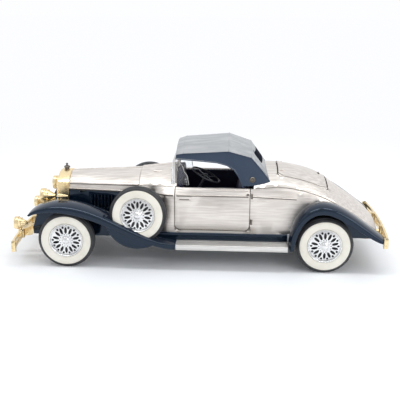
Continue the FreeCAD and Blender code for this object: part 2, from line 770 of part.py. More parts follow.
# ---------------------------------------------------------------------------------------------
# Radiator, lamps and bumpers
# ---------------------------------------------------------------------------------------------
def make_radiator():
    """A round-shouldered shell with an inset grille of upright bars."""
    back, front = 86.5, 94.6
    half, foot, shoulder, crown = 14.6, 22.0, 49.4, 55.2

    def arch(x, edge):
        spots = [Vector(x, half - edge, foot + edge), Vector(x, half - edge, shoulder - edge)]
        spots += [Vector(x, 0, crown - edge * 1.6), Vector(x, edge - half, shoulder - edge)]
        spots.append(Vector(x, edge - half, foot + edge))
        arc = Part.Arc(spots[1], spots[2], spots[3]).toShape()
        lines = [Part.makeLine(spots[0], spots[1]), Part.makeLine(spots[3], spots[4])]
        return Part.Face(Part.Wire([lines[0], arc, lines[1], Part.makeLine(spots[4], spots[0])]))

    shell = arch(back, 0).extrude(Vector(front - back, 0, 0))
    rim_edges = [edge for edge in shell.Edges if edge.BoundBox.XMin > front - 0.01]
    shell = shell.makeChamfer(0.8, rim_edges)
    window = arch(front - 2.2, 2.4).extrude(Vector(5, 0, 0))
    shaped("radiator_shell", shell.cut(window))
    frame = arch(front - 2.2, 2.45).extrude(Vector(0.6, 0, 0))
    bars = []
    for index in range(-8, 9):
        bar = solid_box((front - 1.7, index * 1.35 - 0.35, 20), (front - 0.7, index * 1.35 + 0.35, 60))
        bars.append(bar.common(arch(front - 2.2, 2.45).extrude(Vector(4, 0, 0))))
    grille = frame
    for bar in bars:
        grille = grille.fuse(bar)
    shaped("radiator_grille", grille.removeSplitter())
    stem = rod((90.4, 0, 55.25), (0, 0, 1), 1.5, 1.0)
    cap = rod((90.4, 0, 56.25), (0, 0, 1), 2.0, 0.8)
    knob = primitive("Cone", (90.4, 0, 57.05), Radius1=1.1, Radius2=0.35, Height=2.2)
    keep(joined(stem, cap, knob), "radiator_cap")


def lamp_bowl(rim_x, y, z, radius, depth):
    """A lamp's body: a short drum at the rim and a rounded cone behind it."""
    cone_end = (rim_x - depth, y, z)
    tail = primitive("Cone", cone_end, ALONG_X, Radius1=0.9, Radius2=f"{radius} - 0.3", Height=depth - 2.2)
    drum = primitive("Cylinder", (rim_x - 2.2, y, z), ALONG_X, Radius=radius, Height=2.2)
    room = primitive("Cylinder", (rim_x - 1.0, y, z), ALONG_X, Radius=f"{radius} - 0.6", Height=2)
    return cut(joined(tail, drum), room)


SIDE_LAMP = Vector(89.0, 31.0, 45.0)
TAIL_LAMP = Vector(-114.0, 19.0, 22.0)
LAMP_STALK_RADIUS = 0.9
LENS_SETBACK = 1.0
LENS_PLAY = 0.65


def make_lamps(front_fender):
    """Headlamps and driving lamps with their lenses, side lamps on the fenders and tail lamps."""
    lenses = []
    driving_lamps = []
    for side, name in ((1, "left"), (-1, "right")):
        x, y, z = size("headlamp_x"), side * size("headlamp_y"), size("headlamp_z")
        bowl = lamp_bowl(x, y, z, "Sizes.headlamp_radius", 9.6)
        stalk = rod((x - 5.0, y + side * 5.4, z - 3.0), (0, -side, 0.35), 0.8, 5.0)
        fender = formed("fender_room", front_fender if side > 0 else mirrored(front_fender))
        keep(cut(joined(bowl, stalk), fender), f"headlamp_{name}")
        lenses.append(rod((x - LENS_SETBACK, y, z), (1, 0, 0), f"Sizes.headlamp_radius - {LENS_PLAY}", 0.8))
        x, y, z = size("driving_x"), side * size("driving_y"), size("driving_z")
        bowl = lamp_bowl(x, y, z, "Sizes.driving_radius", 8.6)
        stalk = rod((x - 3.4, y, z - 3.4), (0, 0, -1), LAMP_STALK_RADIUS, 5.2)
        foot = rod((x - 3.4, y, z - 8.0), (1, 0, -0.3), LAMP_STALK_RADIUS, 1.15)
        driving_lamps.append(joined(bowl, stalk, foot))
        lenses.append(rod((x - LENS_SETBACK, y, z), (1, 0, 0), f"Sizes.driving_radius - {LENS_PLAY}", 0.8))
    keep(grouped(*driving_lamps), "driving_lamps")
    keep(grouped(*lenses), "lamp_lenses")
    torpedoes = []
    for side in (1, -1):
        x, y, z = SIDE_LAMP.x, side * SIDE_LAMP.y, SIDE_LAMP.z
        tail = primitive("Cone", (x - 5.6, y, z), ALONG_X, Radius1=0.5, Radius2=1.6, Height=5.6)
        nose = primitive("Sphere", (x, y, z), Radius=1.6)
        foot = rod((x - 1.0, y, z - 2.25), (0, 0, 1), 0.7, 2.0)
        torpedoes.append(joined(tail, nose, foot))
    keep(grouped(*torpedoes), "side_lamps")
    tails = []
    for side in (1, -1):
        tails.append(rod((TAIL_LAMP.x, side * TAIL_LAMP.y, TAIL_LAMP.z), (-1, 0, 0), 1.4, 2.8))
    hull = formed("body_hull", body_outer)
    keep(grouped(*[cut(tail, hull) for tail in tails]), "tail_lamps")


def bumper(label, end, bottom):
    """Two bowed blades with a gap between them, tied by clamps and rolled at the ends."""
    reach = size("bumper_reach")
    bow = size("bumper_bow")
    centre_x = end * (reach - bow)
    low = size(bottom)
    step = size("blade_height") + size("blade_gap")
    blades = []
    for index in range(2):
        spot = (centre_x, 0, low + index * step)
        outer = primitive("Cylinder", spot, Radius="Sizes.bumper_bow", Height="Sizes.blade_height")
        inner = primitive("Cylinder", spot, Radius="Sizes.bumper_bow - 1.4", Height="Sizes.blade_height")
        trim_x = 90 if end > 0 else -130
        half = "Sizes.bumper_half_width"
        trim = primitive("Box", (trim_x, -number(half), low - 5), Length=40, Width=f"2 * {half}", Height=20)
        blades.append(shared(cut(outer, inner), trim))
    clamps = []
    height = step + size("blade_height")
    for y in (-size("bumper_half_width") + 1.2, -14.0, 14.0, size("bumper_half_width") - 1.2):
        x = centre_x + end * (math.sqrt(bow ** 2 - y ** 2) - 1.6)
        clamps.append(rod((x, y, low), (0, 0, 1), 1.3, height))
    return keep(joined(*blades, *clamps), label)


def make_bumpers():
    bumper("front_bumper", 1, "front_blade_bottom")
    bumper("rear_bumper", -1, "rear_blade_bottom")
    doc.recompute()
    front_gap = 117.55
    irons = []
    for side in (1, -1):
        corners = [(98.0, 17.8), (98.0, 22.0), (108.0, 23.0), (114.0, 18.8), (front_gap, 17.0)]
        corners += [(front_gap, 12.0), (113.0, 12.6), (108.0, 17.8)]
        irons.append(side_profile("", corners, 12.8 if side > 0 else -15.2, 2.4))
    keep(grouped(*irons), "front_bumper_irons")
    irons = []
    for side in (1, -1):
        corners = [(-100.0, 17.0), (-100.0, 19.6), (-108.0, 19.6), (-113.0, 18.1), (-119.6, 18.1)]
        corners += [(-119.6, 16.6), (-112.0, 16.4), (-107.0, 17.0)]
        irons.append(side_profile("", corners, 12.8 if side > 0 else -15.2, 2.4))
    keep(grouped(*irons), "rear_bumper_irons")


# ---------------------------------------------------------------------------------------------
# Chassis, axles and screws
# ---------------------------------------------------------------------------------------------
def make_chassis():
    half = 20.6
    top = size("floor_top")
    thickness = size("plate_thickness")
    low = top - thickness
    left = [(98.0, 14), (90, half), (-104, half), (-110, 14)]
    corners = left + [(x, -y) for x, y in reversed(left)]
    body = plate("", corners, "Sizes.floor_top - Sizes.plate_thickness", "Sizes.plate_thickness")
    doc.recompute()
    shape = body.Shape
    blocks = []
    for x in (FRONT_AXLE_X, REAR_AXLE_X):
        for y in (-20.4, 14.4):
            blocks.append(solid_box((x - 4, y, 14.4), (x + 4, y + 6, low + 0.5)))
    for piece in blocks:
        shape = shape.fuse(piece)
    bore = size("axle_radius") + size("running_clearance")
    for x in (FRONT_AXLE_X, REAR_AXLE_X):
        shape = shape.cut(Part.makeCylinder(bore, 60, Vector(x, -30, TYRE_RADIUS), Y_AXIS))
        shape = shape.cut(solid_box((x - 3.2, -14.4, 10), (x + 3.2, 14.4, top + 1)))
    for x in SCREW_X:
        for y in (-SCREW_Y, SCREW_Y):
            shape = shape.cut(Part.makeCylinder(1.1, 10, Vector(x, y, low - 2)))
    for side in (-1, 1):
        spot = Vector(side * size("plinth_hole_spacing") / 2 - 20, 0, low - 2)
        shape = shape.cut(Part.makeCylinder(size("plinth_hole_radius"), 10, spot))
    shaped("chassis_plate", shape.removeSplitter())
    screws = []
    for x in SCREW_X:
        for y in (-SCREW_Y, SCREW_Y):
            head = rod((x, y, low - 1.3), (0, 0, 1), 2.1, 1.3)
            shank = rod((x, y, low - 0.1), (0, 0, 1), 1.0, 9.0)
            screws.append(joined(head, shank))
    keep(grouped(*screws), "chassis_screws")


def make_axles():
    for name, x in (("front_axle", FRONT_AXLE_X), ("rear_axle", REAR_AXLE_X)):
        reach = size("half_track") + 1.0
        axle = rod((x, -reach, TYRE_RADIUS), (0, 1, 0), "Sizes.axle_radius", 2 * reach)
        keep(axle, name)


# ---------------------------------------------------------------------------------------------
# Wheels: each is a wire wheel, a tyre and a white band let into the tyre's outer side
# ---------------------------------------------------------------------------------------------
HALF = "Sizes.tyre_width / 2"
TYRE = [
    (f"-{HALF}", "Sizes.rim_radius"),
    (f"-{HALF}", "Sizes.band_radius"),
    (f"-{HALF} + 0.9", "Sizes.tyre_radius - 0.7"),
    (f"-{HALF} + 2.0", "Sizes.tyre_radius"),
    (f"{HALF} - 2.0", "Sizes.tyre_radius"),
    (f"{HALF} - 0.9", "Sizes.tyre_radius - 0.7"),
    (HALF, "Sizes.band_radius"),
    (f"{HALF} - Sizes.band_depth", "Sizes.band_radius"),
    (f"{HALF} - Sizes.band_depth", "Sizes.rim_radius"),
]
BAND = [
    (f"{HALF} - Sizes.band_depth", "Sizes.rim_radius"),
    (f"{HALF} - Sizes.band_depth", "Sizes.band_radius"),
    (HALF, "Sizes.band_radius"),
    (f"{HALF} + 0.5", "Sizes.band_radius - 1.4"),
    (f"{HALF} + 0.5", "Sizes.rim_radius + 1.2"),
    (HALF, "Sizes.rim_radius"),
]


def wheel_profile(bore):
    """The wire wheel's section: hub with a blind bore from behind, dished disc and rim."""
    return [
        (f"-{HALF} + 0.4", bore),
        (f"-{HALF} + 0.4", "Sizes.hub_radius"),
        (f"{HALF} - 2.8", "Sizes.hub_radius"),
        (f"{HALF} - 2.4", "Sizes.disc_radius"),
        (f"-{HALF} + 0.4", "Sizes.disc_radius"),
        (f"-{HALF} + 0.4", "Sizes.rim_radius"),
        (f"{HALF} + 0.1", "Sizes.rim_radius"),
        (f"{HALF} + 0.1", "Sizes.rim_radius - 0.8"),
        (f"{HALF} - 1.2", "Sizes.disc_radius"),
        (f"{HALF} - 1.6", "Sizes.hub_radius"),
        (f"{HALF} + 0.2", "Sizes.hub_radius - 0.3"),
        (f"{HALF} + 1.0", "Sizes.hub_radius * 0.55"),
        (f"{HALF} + 1.2", 0.0),
        (1.0, 0.0),
        (1.0, bore),
    ]


def make_wheel(name, bore, place):
    wheel = turned(f"wheel_{name}", wheel_profile(bore), (0, 0, 0))
    slot = outline(wheel, "XZ_Plane", [
        ("-Sizes.spoke_gap / 2", "Sizes.spoke_in"),
        ("Sizes.spoke_gap / 2", "Sizes.spoke_in"),
        ("Sizes.spoke_gap / 2", "Sizes.spoke_out"),
        ("-Sizes.spoke_gap / 2", "Sizes.spoke_out"),
    ])
    pocket = wheel.newObject("PartDesign::Pocket", "Slot")
    pocket.Profile = slot
    pocket.SideType = "Symmetric"
    pocket.Length = 30
    doc.recompute()
    ring = wheel.newObject("PartDesign::PolarPattern", "Slots")
    ring.Originals = [pocket]
    ring.Axis = (origin_part(wheel, "Y_Axis"), [""])
    ring.Angle = 360
    ring.Occurrences = 14
    wheel.Tip = ring
    wheel.Placement = place
    turned(f"tyre_{name}", TYRE, (0, 0, 0)).Placement = place
    band = turned("", BAND, (0, 0, 0))
    band.Placement = place
    return band


def spare_side(place, side):
    """The spare's placement on one side of the car."""
    if side > 0:
        return place
    base = Vector(place.Base.x, -place.Base.y, place.Base.z)
    return Placement(base, HALF_TURN.multiply(place.Rotation))


def make_wheels():
    reach = size("half_track")
    for end, x in (("front", FRONT_AXLE_X), ("rear", REAR_AXLE_X)):
        bands = []
        for side, name in ((1, "left"), (-1, "right")):
            turn = Rotation() if side > 0 else HALF_TURN
            place = Placement(Vector(x, side * reach, TYRE_RADIUS), turn)
            bands.append(make_wheel(f"{end}_{name}", "Sizes.axle_radius", place))
        keep(grouped(*bands), f"whitewalls_{end}")
    for side, name in ((1, "left"), (-1, "right")):
        bore = "Sizes.axle_radius + Sizes.running_clearance"
        place = spare_side(spare_place(), side)
        keep(make_wheel(f"spare_{name}", bore, place), f"whitewall_spare_{name}")


def make_spare_studs():
    """Studs from the sides of the bonnet that the spare wheels turn on."""
    studs = []
    for side in (1, -1):
        place = spare_side(spare_place(), side)
        inner, outer = -14.2, 0.9
        shank = rod(tuple(place.multVec(Vector(0, inner, 0))), tuple(place.Rotation.multVec(Y_AXIS)),
                    "Sizes.axle_radius", outer - inner)
        outwards = tuple(place.Rotation.multVec(Y_AXIS))
        flange = rod(tuple(place.multVec(Vector(0, inner + 1.0, 0))), outwards, 2.6, 1.2)
        studs.append(joined(shank, flange))
    hull = formed("bonnet_hull", outer_body(BONNET))
    cowl = formed("cowl_hull", body_outer)
    keep(grouped(*[cut(stud, hull, cowl) for stud in studs]), "spare_studs")


def make_hinge_pins():
    """Two short upright pins behind each door and one cross pin in front of the boot lid."""
    pins = []
    x = door_rear - GAP - 0.9
    for side in (1, -1):
        for low in (28.5, 45.4):
            pins.append(rod((x, side * (body_half + 0.9), low), (0, 0, 1), "Sizes.pin_radius", 3.2))
    x = lid_front + GAP / 2
    pins.append(rod((x, -3.0, skin_height(x, 0) + 0.45), (0, 1, 0), 0.35, 6.0))
    keep(grouped(*pins), "hinge_pins")


make_body_shell()
make_doors()
make_door_cards()
make_boot_lid()
make_bonnet()
left_front_fender = make_front_fenders()
left_rear_fender = make_rear_fenders()
make_sills(left_front_fender, left_rear_fender)
make_running_boards()
make_soft_top()
make_windscreen()
make_cabin()
make_steering()
make_radiator()
make_lamps(left_front_fender)
make_bumpers()
make_chassis()
make_axles()
make_wheels()
make_spare_studs()
make_hinge_pins()
doc.recompute()

# ---------------------------------------------------------------------------------------------
# Checks and export
# ---------------------------------------------------------------------------------------------
failed = [thing.Name for thing in doc.Objects if {"Invalid", "Error"} & set(thing.State)]
if failed:
    raise SystemExit(f"failed objects: {failed}")
os.makedirs("parts", exist_ok=True)
for part in parts:
    if part.Shape.isNull() or not part.Shape.isValid() or not part.Shape.Solids:
        raise SystemExit(f"bad shape: {part.Label}")
    part.Shape.exportStep(f"parts/{part.Label}.step")
    box = part.Shape.BoundBox
    print(f"{part.Label:22s} solids {len(part.Shape.Solids)} volume {part.Shape.Volume:9.1f} "
          f"x {box.XMin:.1f}..{box.XMax:.1f} y {box.YMin:.1f}..{box.YMax:.1f} "
          f"z {box.ZMin:.1f}..{box.ZMax:.1f}")
print(f"{len(parts)} sub-parts")
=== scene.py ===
"""Looks of a 1930s-style roadster model: brushed pewter body, black fenders, gold fittings, wire wheels."""
import json
import math
import random

import bpy
from mathutils import Matrix, Vector
from mathutils.bvhtree import BVHTree


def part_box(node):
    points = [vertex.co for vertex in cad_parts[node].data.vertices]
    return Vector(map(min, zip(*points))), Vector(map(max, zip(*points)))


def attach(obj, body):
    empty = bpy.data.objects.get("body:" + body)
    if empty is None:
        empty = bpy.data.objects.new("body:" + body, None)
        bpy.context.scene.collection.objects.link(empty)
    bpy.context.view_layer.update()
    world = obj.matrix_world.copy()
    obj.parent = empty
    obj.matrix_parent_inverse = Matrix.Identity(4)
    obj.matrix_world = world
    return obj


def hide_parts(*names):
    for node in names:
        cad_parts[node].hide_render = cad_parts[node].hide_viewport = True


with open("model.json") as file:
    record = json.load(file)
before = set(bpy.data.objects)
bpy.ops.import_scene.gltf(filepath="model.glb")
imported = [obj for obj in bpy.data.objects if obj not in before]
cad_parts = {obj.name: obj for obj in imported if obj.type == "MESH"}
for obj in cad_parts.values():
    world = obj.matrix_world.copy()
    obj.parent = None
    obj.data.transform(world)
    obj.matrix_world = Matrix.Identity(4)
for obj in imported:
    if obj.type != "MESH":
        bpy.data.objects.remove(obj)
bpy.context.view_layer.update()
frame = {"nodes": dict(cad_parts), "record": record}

NODES = frame["nodes"]
MM = 0.001
UP = Vector((0, 0, 1))
SIDEWAYS = Vector((0, 1, 0))
AHEAD = Vector((1, 0, 0))
FULL_TURN = 2 * math.pi
random.seed(7)


# ---------------------------------------------------------------------------------------------
# Camera, light and floor
# ---------------------------------------------------------------------------------------------
VIEW_TARGET = Vector((0.0005, 0.0, 0.0351))
VIEW_DISTANCE = 0.4954
VIEW_AZIMUTH, VIEW_ELEVATION, VIEW_ROLL = 182.75, 16.25, 0.4
LENS_MM, SENSOR_MM = 65.81, 36.0
ROOM_NEAR, ROOM_FAR = 0.72, 1.0


def make_camera():
    azimuth, elevation = math.radians(VIEW_AZIMUTH), math.radians(VIEW_ELEVATION)
    flat = math.cos(elevation)
    back = Vector((flat * math.sin(azimuth), -flat * math.cos(azimuth), math.sin(elevation)))
    lens = bpy.data.cameras.new("view")
    lens.lens = LENS_MM
    lens.sensor_width = SENSOR_MM
    lens.clip_start = 0.01
    camera = bpy.data.objects.new("view", lens)
    turn = back.to_track_quat("Z", "Y").to_matrix().to_4x4() @ Matrix.Rotation(math.radians(VIEW_ROLL), 4, "Z")
    camera.matrix_world = Matrix.Translation(VIEW_TARGET + back * VIEW_DISTANCE) @ turn
    bpy.context.collection.objects.link(camera)
    bpy.context.scene.camera = camera


def softbox(name, place, width, depth, power, colour=(1.0, 1.0, 1.0)):
    """A rectangular studio light that faces the model."""
    light = bpy.data.lights.new(name, "AREA")
    light.shape = "RECTANGLE"
    light.size, light.size_y = width, depth
    light.energy = power
    light.color = colour
    lamp = bpy.data.objects.new(name, light)
    place = Vector(place)
    aim = (place - Vector((0, 0, 0.03))).to_track_quat("Z", "Y").to_matrix().to_4x4()
    lamp.matrix_world = Matrix.Translation(place) @ aim
    bpy.context.collection.objects.link(lamp)


def make_room():
    """A white room, darker on the car's left, so that plated and glossy parts have contrast."""
    world = bpy.data.worlds.new("white_room")
    world.use_nodes = True
    tree = world.node_tree
    backdrop = tree.nodes["Background"]
    backdrop.inputs["Color"].default_value = (0.985, 0.99, 1.0, 1.0)
    around = tree.nodes.new("ShaderNodeBackground")
    split = tree.nodes.new("ShaderNodeSeparateXYZ")
    tree.links.new(tree.nodes.new("ShaderNodeTexCoord").outputs["Generated"], split.inputs["Vector"])
    rise = tree.nodes.new("ShaderNodeMapRange")
    for key, value in (("From Min", 0.85), ("From Max", -0.25), ("To Min", ROOM_NEAR), ("To Max", ROOM_FAR)):
        rise.inputs[key].default_value = value
    tree.links.new(split.outputs["Y"], rise.inputs["Value"])
    around.inputs["Color"].default_value = (0.95, 0.97, 1.0, 1.0)
    tree.links.new(rise.outputs["Result"], around.inputs["Strength"])
    chooser = tree.nodes.new("ShaderNodeMixShader")
    tree.links.new(tree.nodes.new("ShaderNodeLightPath").outputs["Is Camera Ray"], chooser.inputs["Fac"])
    tree.links.new(around.outputs["Background"], chooser.inputs[1])
    tree.links.new(backdrop.outputs["Background"], chooser.inputs[2])
    tree.links.new(chooser.outputs["Shader"], tree.nodes["World Output"].inputs["Surface"])
    bpy.context.scene.world = world


def make_studio():
    softbox("overhead_softbox", (0.0, 0.12, 0.9), 1.1, 0.16, 3.0)
    softbox("left_softbox", (-0.7, 0.60, 0.5), 0.5, 0.3, 2.0)
    make_room()
    bpy.context.scene.view_settings.view_transform = "Standard"
    deselect()
    bpy.ops.mesh.primitive_plane_add(size=8.0, location=(0, 0, 0))
    floor = bpy.context.object
    floor.name = "white_floor"
    floor.data.materials.append(floor_material())


def floor_material():
    paper = Finish("white_paper")
    grain = paper.noise(scale=90.0, detail=3.0)
    paper.colour(paper.mix(grain, (0.92, 0.935, 0.96), (0.95, 0.965, 0.985)))
    paper.plain(Roughness=0.55)
    reach = paper.node("ShaderNodeVectorMath", operation="LENGTH")
    paper.join(paper.place, reach.inputs[0])
    glow = paper.node("ShaderNodeEmission")
    glow.inputs["Color"].default_value = (0.98, 0.985, 1.0, 1.0)
    blend = paper.node("ShaderNodeMixShader")
    paper.join(paper.spread(reach.outputs["Value"], 0.16, 0.5), blend.inputs["Fac"])
    paper.join(paper.shader.outputs["BSDF"], blend.inputs[1])
    paper.join(glow.outputs["Emission"], blend.inputs[2])
    paper.join(blend.outputs["Shader"], paper.tree.nodes["Material Output"].inputs["Surface"])
    return paper.material


# ---------------------------------------------------------------------------------------------
# Finishes: one short builder for all the materials
# ---------------------------------------------------------------------------------------------
class Finish:
    """A material under construction. Patterns read Object coordinates, in metres."""

    def __init__(self, name):
        self.material = bpy.data.materials.new(name)
        self.material.use_nodes = True
        self.tree = self.material.node_tree
        self.shader = self.tree.nodes["Principled BSDF"]
        self.place = self.tree.nodes.new("ShaderNodeTexCoord").outputs["Object"]

    def node(self, kind, **settings):
        made = self.tree.nodes.new(kind)
        for key, value in settings.items():
            setattr(made, key, value)
        return made

    def join(self, source, socket):
        self.tree.links.new(source, socket)

    def stretched(self, scale):
        """The object's coordinates, scaled apart along each axis."""
        mapping = self.node("ShaderNodeMapping")
        mapping.inputs["Scale"].default_value = scale
        self.join(self.place, mapping.inputs["Vector"])
        return mapping.outputs["Vector"]

    def noise(self, scale, detail=4.0, stretch=(1, 1, 1), roughness=0.55):
        made = self.node("ShaderNodeTexNoise")
        self.join(self.stretched(stretch), made.inputs["Vector"])
        made.inputs["Scale"].default_value = scale
        made.inputs["Detail"].default_value = detail
        made.inputs["Roughness"].default_value = roughness
        return made.outputs["Fac"]

    def cells(self, scale, stretch=(1, 1, 1)):
        made = self.node("ShaderNodeTexVoronoi")
        self.join(self.stretched(stretch), made.inputs["Vector"])
        made.inputs["Scale"].default_value = scale
        return made.outputs["Distance"]

    def height_between(self, low, high):
        """0 below the first height of the model and 1 above the second, smoothly."""
        split = self.node("ShaderNodeSeparateXYZ")
        self.join(self.place, split.inputs["Vector"])
        return self.spread(split.outputs["Z"], low, high)

    def upward(self, low, high):
        """0 where the surface leans more than the first share from level, 1 where it lies flatter than the second."""
        split = self.node("ShaderNodeSeparateXYZ")
        self.join(self.node("ShaderNodeNewGeometry").outputs["Normal"], split.inputs["Vector"])
        return self.spread(split.outputs["Z"], low, high)

    def spread(self, value, low, high, bottom=0.0, top=1.0):
        made = self.node("ShaderNodeMapRange", interpolation_type="SMOOTHSTEP")
        self.join(value, made.inputs["Value"])
        for key, number in zip(("From Min", "From Max", "To Min", "To Max"), (low, high, bottom, top)):
            made.inputs[key].default_value = number
        return made.outputs["Result"]

    def mix(self, share, one, other):
        made = self.node("ShaderNodeMix", data_type="RGBA")
        self.join(share, made.inputs["Factor"])
        for socket, value in (("A", one), ("B", other)):
            target = [s for s in made.inputs if s.name == socket and s.type == "RGBA"][0]
            if isinstance(value, tuple):
                target.default_value = (*value, 1.0)
            else:
                self.join(value, target)
        return [s for s in made.outputs if s.type == "RGBA"][0]

    def times(self, one, other):
        made = self.node("ShaderNodeMath", operation="MULTIPLY")
        for socket, value in zip(made.inputs, (one, other)):
            if isinstance(value, float):
                socket.default_value = value
            else:
                self.join(value, socket)
        return made.outputs["Value"]

    def colour(self, source):
        self.join(source, self.shader.inputs["Base Color"])

    def rough(self, source):
        self.join(source, self.shader.inputs["Roughness"])

    def bump(self, source, depth, strength=1.0):
        """Relief of the given depth in metres; a second call adds to the first."""
        made = self.node("ShaderNodeBump")
        made.inputs["Strength"].default_value = strength
        made.inputs["Distance"].default_value = depth
        self.join(source, made.inputs["Height"])
        normal = self.shader.inputs["Normal"]
        if normal.links:
            self.join(normal.links[0].from_socket, made.inputs["Normal"])
        self.join(made.outputs["Normal"], normal)

    def plain(self, **sockets):
        """Constants on the shader's own sockets; underscores in the names stand for spaces."""
        for key, value in sockets.items():
            self.shader.inputs[key.replace("_", " ")].default_value = value


def pewter_finish():
    """Antiqued pewter: fine brushing along the car, cloudy tone, a little dark in the low places."""
    metal = Finish("brushed_pewter")
    streaks = metal.noise(scale=900.0, detail=5.0, stretch=(0.05, 1.0, 1.0))
    clouds = metal.noise(scale=38.0, detail=5.0)
    tone = metal.mix(metal.spread(streaks, 0.35, 0.7), (0.70, 0.645, 0.595), (0.88, 0.83, 0.775))
    tarnish = metal.mix(metal.spread(clouds, 0.50, 0.78, 0.0, 0.45), tone, (0.55, 0.495, 0.45))
    metal.colour(metal.mix(metal.height_between(0.021, 0.030), (0.46, 0.43, 0.40), tarnish))
    metal.rough(metal.spread(streaks, 0.3, 0.75, 0.34, 0.48))
    metal.bump(streaks, 0.00003, 0.5)
    metal.plain(Metallic=1.0, Anisotropic=0.35)
    return metal.material


def enamel_finish():
    """Blue-black gloss enamel with a trace of orange peel, specks of settled dust, and a painted sheen on the faces
    that turn upwards.
    """
    paint = Finish("blue_black_enamel")
    dust = paint.noise(scale=420.0, detail=6.0)
    peel = paint.noise(scale=180.0, detail=2.0)
    clouds = paint.noise(scale=30.0, detail=3.0)
    base = paint.mix(clouds, (0.002, 0.006, 0.014), (0.004, 0.010, 0.022))
    dusty = paint.mix(paint.spread(dust, 0.66, 0.9, 0.0, 0.18), base, (0.07, 0.08, 0.12))
    # painted sheen: faces that turn upwards are lightened a little, in place of the overhead light's reflection
    painted_top_sheen = paint.times(paint.upward(0.75, 1.0), 0.06)
    paint.colour(paint.mix(painted_top_sheen, dusty, (0.16, 0.19, 0.26)))
    paint.rough(paint.spread(clouds, 0.3, 0.7, 0.07, 0.12))
    paint.bump(peel, 0.00002, 0.25)
    paint.plain(Coat_Weight=0.12, Coat_Roughness=0.03, Specular_IOR_Level=0.55, Specular_Tint=(0.55, 0.70, 0.92, 1.0))
    return paint.material


def gold_finish():
    """Pale vacuum-plated gold with soft cloudiness."""
    metal = Finish("pale_gold_plate")
    clouds = metal.noise(scale=120.0, detail=4.0)
    specks = metal.noise(scale=900.0, detail=3.0)
    metal.colour(metal.mix(metal.spread(clouds, 0.35, 0.7), (0.96, 0.78, 0.47), (0.88, 0.69, 0.37)))
    metal.rough(metal.spread(specks, 0.3, 0.8, 0.24, 0.38))
    metal.bump(specks, 0.00002, 0.3)
    metal.plain(Metallic=1.0)
    return metal.material


def chrome_finish():
    """Bright plating with faint pitting."""
    metal = Finish("bright_plating")
    clouds = metal.noise(scale=160.0, detail=4.0)
    metal.colour(metal.mix(metal.spread(clouds, 0.35, 0.75), (0.88, 0.88, 0.87), (0.74, 0.74, 0.75)))
    metal.rough(metal.spread(clouds, 0.3, 0.8, 0.22, 0.34))
    metal.plain(Metallic=1.0)
    return metal.material


def tread_metal_finish():
    """Satin silver of the running boards, dull between the ridges."""
    metal = Finish("satin_silver")
    streaks = metal.noise(scale=700.0, detail=4.0, stretch=(0.06, 1.0, 1.0))
    metal.colour(metal.mix(metal.spread(streaks, 0.3, 0.7), (0.66, 0.645, 0.62), (0.80, 0.785, 0.76)))
    metal.rough(metal.spread(streaks, 0.3, 0.7, 0.30, 0.45))
    metal.plain(Metallic=1.0)
    return metal.material


def hood_finish():
    """Blue-black grained top, with a painted pale sheen where it faces up."""
    cloth = Finish("grained_top")
    weave = cloth.cells(1500.0)
    clouds = cloth.noise(scale=45.0, detail=4.0)
    streaks = cloth.noise(scale=420.0, detail=4.0, stretch=(0.12, 1.0, 1.0))
    dark = cloth.mix(clouds, (0.014, 0.032, 0.066), (0.030, 0.052, 0.092))
    # painted sheen: faces that turn upwards take a pale grey in place of the reflection of the overhead light
    painted_sheen = cloth.mix(cloth.spread(streaks, 0.3, 0.75), (0.33, 0.34, 0.35), (0.45, 0.455, 0.46))
    cloth.colour(cloth.mix(cloth.upward(0.42, 0.66), dark, painted_sheen))
    cloth.rough(cloth.spread(clouds, 0.3, 0.7, 0.40, 0.52))
    cloth.bump(weave, 0.00006, 0.35)
    cloth.plain(Specular_IOR_Level=0.5)
    return cloth.material


def leather_finish():
    """Very dark navy moulded leather."""
    hide = Finish("navy_leather")
    grain = hide.cells(1100.0)
    clouds = hide.noise(scale=60.0, detail=3.0)
    hide.colour(hide.mix(clouds, (0.008, 0.008, 0.034), (0.016, 0.015, 0.055)))
    hide.rough(hide.spread(clouds, 0.3, 0.7, 0.38, 0.52))
    hide.bump(grain, 0.00008, 0.4)
    return hide.material


def black_plastic_finish():
    plastic = Finish("moulded_black")
    clouds = plastic.noise(scale=150.0, detail=4.0)
    plastic.colour(plastic.mix(clouds, (0.016, 0.017, 0.022), (0.034, 0.035, 0.042)))
    plastic.rough(plastic.spread(clouds, 0.3, 0.7, 0.30, 0.42))
    plastic.bump(clouds, 0.00005, 0.3)
    return plastic.material


def dark_metal_finish():
    metal = Finish("dark_bronze")
    clouds = metal.noise(scale=300.0, detail=4.0)
    metal.colour(metal.mix(clouds, (0.13, 0.115, 0.10), (0.24, 0.21, 0.18)))
    metal.rough(metal.spread(clouds, 0.3, 0.7, 0.26, 0.40))
    metal.plain(Metallic=0.9)
    return metal.material


def steel_finish():
    metal = Finish("drawn_steel")
    streaks = metal.noise(scale=900.0, detail=4.0, stretch=(1.0, 0.05, 1.0))
    metal.colour(metal.mix(streaks, (0.42, 0.42, 0.43), (0.60, 0.60, 0.61)))
    metal.rough(metal.spread(streaks, 0.3, 0.7, 0.28, 0.42))
    metal.plain(Metallic=1.0)
    return metal.material


def rubber_finish():
    """Dull black rubber, greyed a little by handling."""
    rubber = Finish("tyre_rubber")
    clouds = rubber.noise(scale=140.0, detail=6.0)
    rubber.colour(rubber.mix(rubber.spread(clouds, 0.35, 0.75), (0.020, 0.021, 0.024), (0.050, 0.051, 0.055)))
    rubber.rough(rubber.spread(clouds, 0.3, 0.7, 0.48, 0.62))
    rubber.bump(clouds, 0.00006, 0.4)
    return rubber.material


def cream_finish():
    band = Finish("cream_whitewall")
    clouds = band.noise(scale=110.0, detail=4.0)
    band.colour(band.mix(band.spread(clouds, 0.35, 0.8), (0.86, 0.83, 0.74), (0.76, 0.72, 0.62)))
    band.rough(band.spread(clouds, 0.3, 0.7, 0.40, 0.52))
    band.plain(Specular_IOR_Level=0.4)
    return band.material


